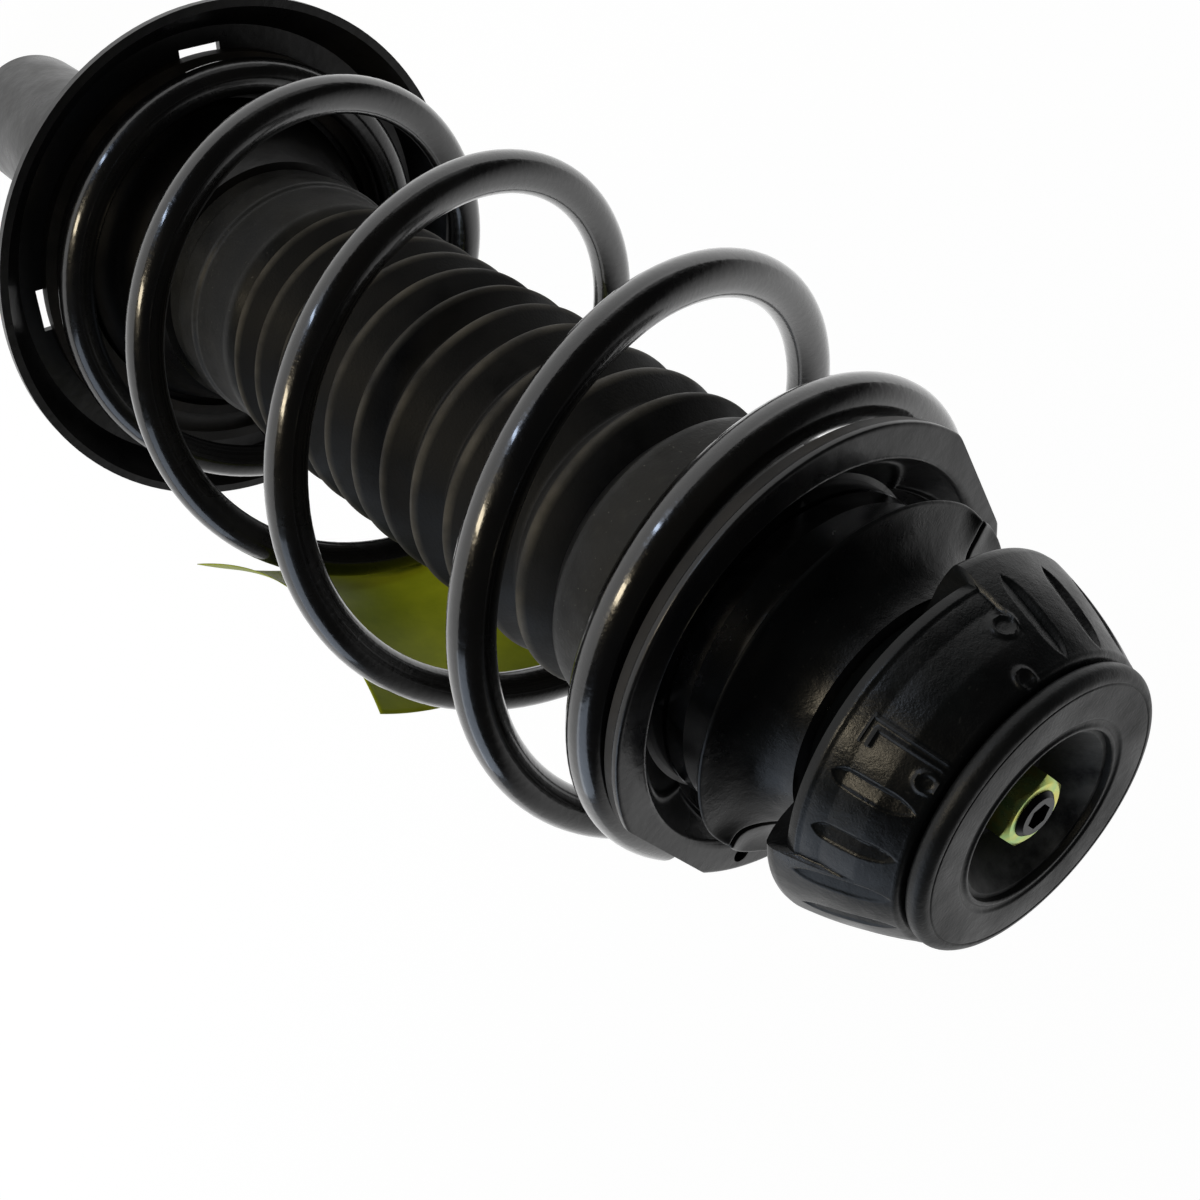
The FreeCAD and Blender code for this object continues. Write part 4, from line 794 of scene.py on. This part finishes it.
PLATE_FLATS, FLAT_DISTANCE = (169, -4), 60.6
ARCHES, ARCH_FOOT, ARCH_REACH, ARCH_START = 8, 46.4, 5.6, -112
ARCH_HEIGHT, ARCH_OUTWARD, ARCH_HALF_WIDTH = 0.7, 0.35, 0.7
HOLE_ANGLE, HOLE_DISTANCE, HOLE_RADIUS = 26, 59, 2.6


def raise_arches(angles, radius, height):
    """Thin raised arches round the wall of the well."""
    line = ARCH_FOOT + ARCH_REACH * np.abs(np.cos(np.radians((angles - ARCH_START) * ARCHES / 2)))
    wall = (radius > 44) & (radius < 56) & (height > 454.5)
    ridge = np.exp(-((radius - line) / ARCH_HALF_WIDTH) ** 2) * wall
    return radius - ARCH_OUTWARD * ridge, height + ARCH_HEIGHT * ridge


plate = turned("upper_seat_plate", np.concatenate([rounded([
    (24, 440.1), (26.5, 440.1), (26.5, 452.1, 1.5), (45.7, 452.1, 3), (55.2, 465.7, 2), (63.9, 465.7, 0.4),
    (64.2, 466.3, 0.4), (64.2, 468.15, 1.2), (55.6, 468.15, 0.8)]),
    bowed((54.6, 466.4), (45.6, 454.75), 0.5, steps=44), rounded([(44.6, 454.55, 1), (24, 454.55)])]),
    around=720, warp=raise_arches)
hole = bmesh.new()
hole_place = Vector((HOLE_DISTANCE * MM * math.cos(math.radians(HOLE_ANGLE)),
                     HOLE_DISTANCE * MM * math.sin(math.radians(HOLE_ANGLE)) + AXIS[1], 467 * MM))
bmesh.ops.create_cone(hole, cap_ends=True, segments=32, radius1=HOLE_RADIUS * MM,
                      radius2=HOLE_RADIUS * MM, depth=20 * MM, matrix=Matrix.Translation(hole_place))
flats = [box_cutter((FLAT_DISTANCE, -60, 460), (80, 60, 475), turn) for turn in PLATE_FLATS]
cut_away(plate, flats + [hole])
dress(plate, plate_enamel, body="upper_seat", replaces=["upper_spring_seat"])


# Nut with rounded edges

nut = softened("top_nut", "rod_nut", 0.35)
dress(nut, zinc, body="top_mount", replaces=["top_nut"])


# Paper tag: curled round the spring's side, with its free corners bent outwards

TAG_FOOT, TAG_TOP = 222.2, 344.0
TAG_SLANT = 38.0
TAG_FIRST_ANGLE, TAG_SWEEP = 54, 47
TAG_RADIUS, TAG_FLARE, TAG_PULLED_IN, TAG_HOLLOW, TAG_WAIST = 83.4, 18.4, 9, 6, 17
TAG_RIPPLE, TAG_THICKNESS = 0.4, 0.3
TAG_ROWS, TAG_COLUMNS = 60, 50

tag_points = []
tag_faces = []
for row in range(TAG_ROWS + 1):
    up = row / TAG_ROWS
    for column in range(TAG_COLUMNS + 1):
        out = column / TAG_COLUMNS
        angle = math.radians(TAG_FIRST_ANGLE - TAG_SWEEP * out)
        waist = 4 * up * (1 - up) * out ** 2
        radius = (TAG_RADIUS + (TAG_FLARE - TAG_PULLED_IN * up ** 2) * out - TAG_HOLLOW * out * (1 - out)
                  - TAG_WAIST * waist + TAG_RIPPLE * math.sin(up * 7 + out * 3) * out)
        foot = TAG_FOOT + TAG_SLANT * (1 - out)
        tag_points.append((radius * math.cos(angle), radius * math.sin(angle) + AXIS_Y,
                           foot + (TAG_TOP - foot) * up))
for row in range(TAG_ROWS):
    for column in range(TAG_COLUMNS):
        corner = row * (TAG_COLUMNS + 1) + column
        tag_faces.append((corner, corner + 1, corner + TAG_COLUMNS + 2, corner + TAG_COLUMNS + 1))
tag = solid_from("paper_tag_sheet", tag_points, tag_faces)
thick = tag.modifiers.new("paper", "SOLIDIFY")
thick.thickness = TAG_THICKNESS * MM
thick.offset = 0
settled(tag)
dress(tag, paper, replaces=["paper_tag"])
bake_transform(tag)


# Camera, at the photograph's place and angle, with its off-centre framing

RIGHT = Vector((-0.563621, 0.604239, 0.563228))
DOWN = Vector((0.814897, 0.295142, 0.498833))
FORWARD = Vector((0.135183, 0.740126, -0.658741))
CAMERA_PLACE = Vector((-1.091, -378.705, 661.557)) * MM
FOCAL_PIXELS, PICTURE_WIDTH, SENSOR_WIDTH = 1484.12, 1200, 36

lens = bpy.data.cameras.new("camera")
lens.sensor_width = SENSOR_WIDTH
lens.lens = SENSOR_WIDTH * FOCAL_PIXELS / PICTURE_WIDTH
lens.shift_x = 0.1121
lens.shift_y = 0.05
camera = bpy.data.objects.new("camera", lens)
turn = Matrix((RIGHT, -DOWN, -FORWARD)).transposed().to_4x4()
camera.matrix_world = Matrix.Translation(CAMERA_PLACE) @ turn
bpy.context.scene.collection.objects.link(camera)
bpy.context.scene.camera = camera


# Floor, background and lamps

def seen_directly(tree, *kinds):
    """1 for rays of the named kinds, which see the background itself, and 0 for all others."""
    rays = tree.nodes.new("ShaderNodeLightPath").outputs
    seen = rays[f"Is {kinds[0]} Ray"]
    for kind in kinds[1:]:
        seen = add_node(tree, MATH, seen, rays[f"Is {kind} Ray"], operation="MAXIMUM")
    return seen


FLOOR_WHITE_SHARE, FLOOR_WHITE = 0.86, 1.12


def paper_floor(level):
    """A wide sheet of white paper under the strut's foot, which keeps a soft shadow."""
    mesh = bpy.data.meshes.new("floor")
    mesh.from_pydata([(-9, -9, level), (9, -9, level), (9, 9, level), (-9, 9, level)], [], [(0, 1, 2, 3)])
    material, tree, shader = new_finish("white_paper_floor", 0.9, colour="#e9e9e7", Specular_IOR_Level=0.1)
    seen = seen_directly(tree, "Camera", "Glossy", "Transmission")
    share = add_node(tree, MATH, seen, FLOOR_WHITE_SHARE, operation="MULTIPLY")
    white = add_node(tree, "ShaderNodeEmission", linear("#ffffff"), FLOOR_WHITE)
    mixed = add_node(tree, "ShaderNodeMixShader", share, tree.nodes["Principled BSDF"].outputs[0], white)
    tree.links.new(mixed, tree.nodes["Material Output"].inputs["Surface"])
    mesh.materials.append(material)
    new_piece("floor", mesh)


paper_floor(min(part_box(node)[0].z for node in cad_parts) - 0.5 * MM)

# The backdrop's white wall stands behind the strut. The room on the camera's side is dim.
WALL_STARTS, WALL_IS_FULL = 0.35, 0.85
DIM_ROOM, WALL_LIGHT, AMBIENT = 0.02, 0.95, 0.2

world = bpy.data.worlds.new("studio")
bpy.context.scene.world = world
world.use_nodes = True
sky = world.node_tree
toward = add_node(sky, "ShaderNodeTexCoord", out="Generated")
backwards = add_node(sky, "ShaderNodeSeparateXYZ", toward, out=1)
behind = add_node(sky, "ShaderNodeMapRange", backwards, WALL_STARTS, WALL_IS_FULL, DIM_ROOM, WALL_LIGHT)
mirrored = add_node(sky, MATH, seen_directly(sky, "Glossy"), behind, operation="MULTIPLY")
plain_white = seen_directly(sky, "Camera", "Transmission")
level = add_node(sky, MATH, mirrored, plain_white, operation="MAXIMUM")
not_ambient = seen_directly(sky, "Camera", "Glossy", "Transmission")
ambient = add_node(sky, "ShaderNodeMapRange", not_ambient, 0.0, 1.0, AMBIENT, 0.0)
strength = add_node(sky, MATH, level, ambient, operation="ADD")
sky.links.new(strength, sky.nodes["Background"].inputs["Strength"])
sky.nodes["Background"].inputs["Color"].default_value = linear("#ffffff")

LIT_PLACE = Vector((0, AXIS[1], 0.42))


def softbox(name, toward, distance, width, height, power, colour="#ffffff"):
    """A soft lamp that faces the strut's upper half from the camera's right, up and back in these shares."""
    direction = (RIGHT * toward[0] - DOWN * toward[1] - FORWARD * toward[2]).normalized()
    lamp = bpy.data.lights.new(name, "AREA")
    lamp.shape = "RECTANGLE"
    lamp.size = width
    lamp.size_y = height
    lamp.energy = power
    lamp.color = linear(colour)[:3]
    holder = bpy.data.objects.new(name, lamp)
    holder.matrix_world = (Matrix.Translation(LIT_PLACE + direction * distance)
                           @ direction.to_track_quat("Z", "Y").to_matrix().to_4x4())
    bpy.context.scene.collection.objects.link(holder)


softbox("window_panel", (-0.72, -0.04, 0.69), 1.0, 0.14, 0.3, 2.4, "#ffefcf")
softbox("sky_strip", (-0.6, 0.44, 0.66), 1.1, 0.06, 0.3, 1.0, "#cfe2ff")
softbox("side_panel", (-0.5, -0.84, 0.0), 1.0, 0.8, 0.6, 2.2, "#deecff")
softbox("top_panel", (0.3, 0.9, 0.35), 1.3, 0.8, 0.4, 0.3)

bpy.context.scene.view_settings.view_transform = "Standard"
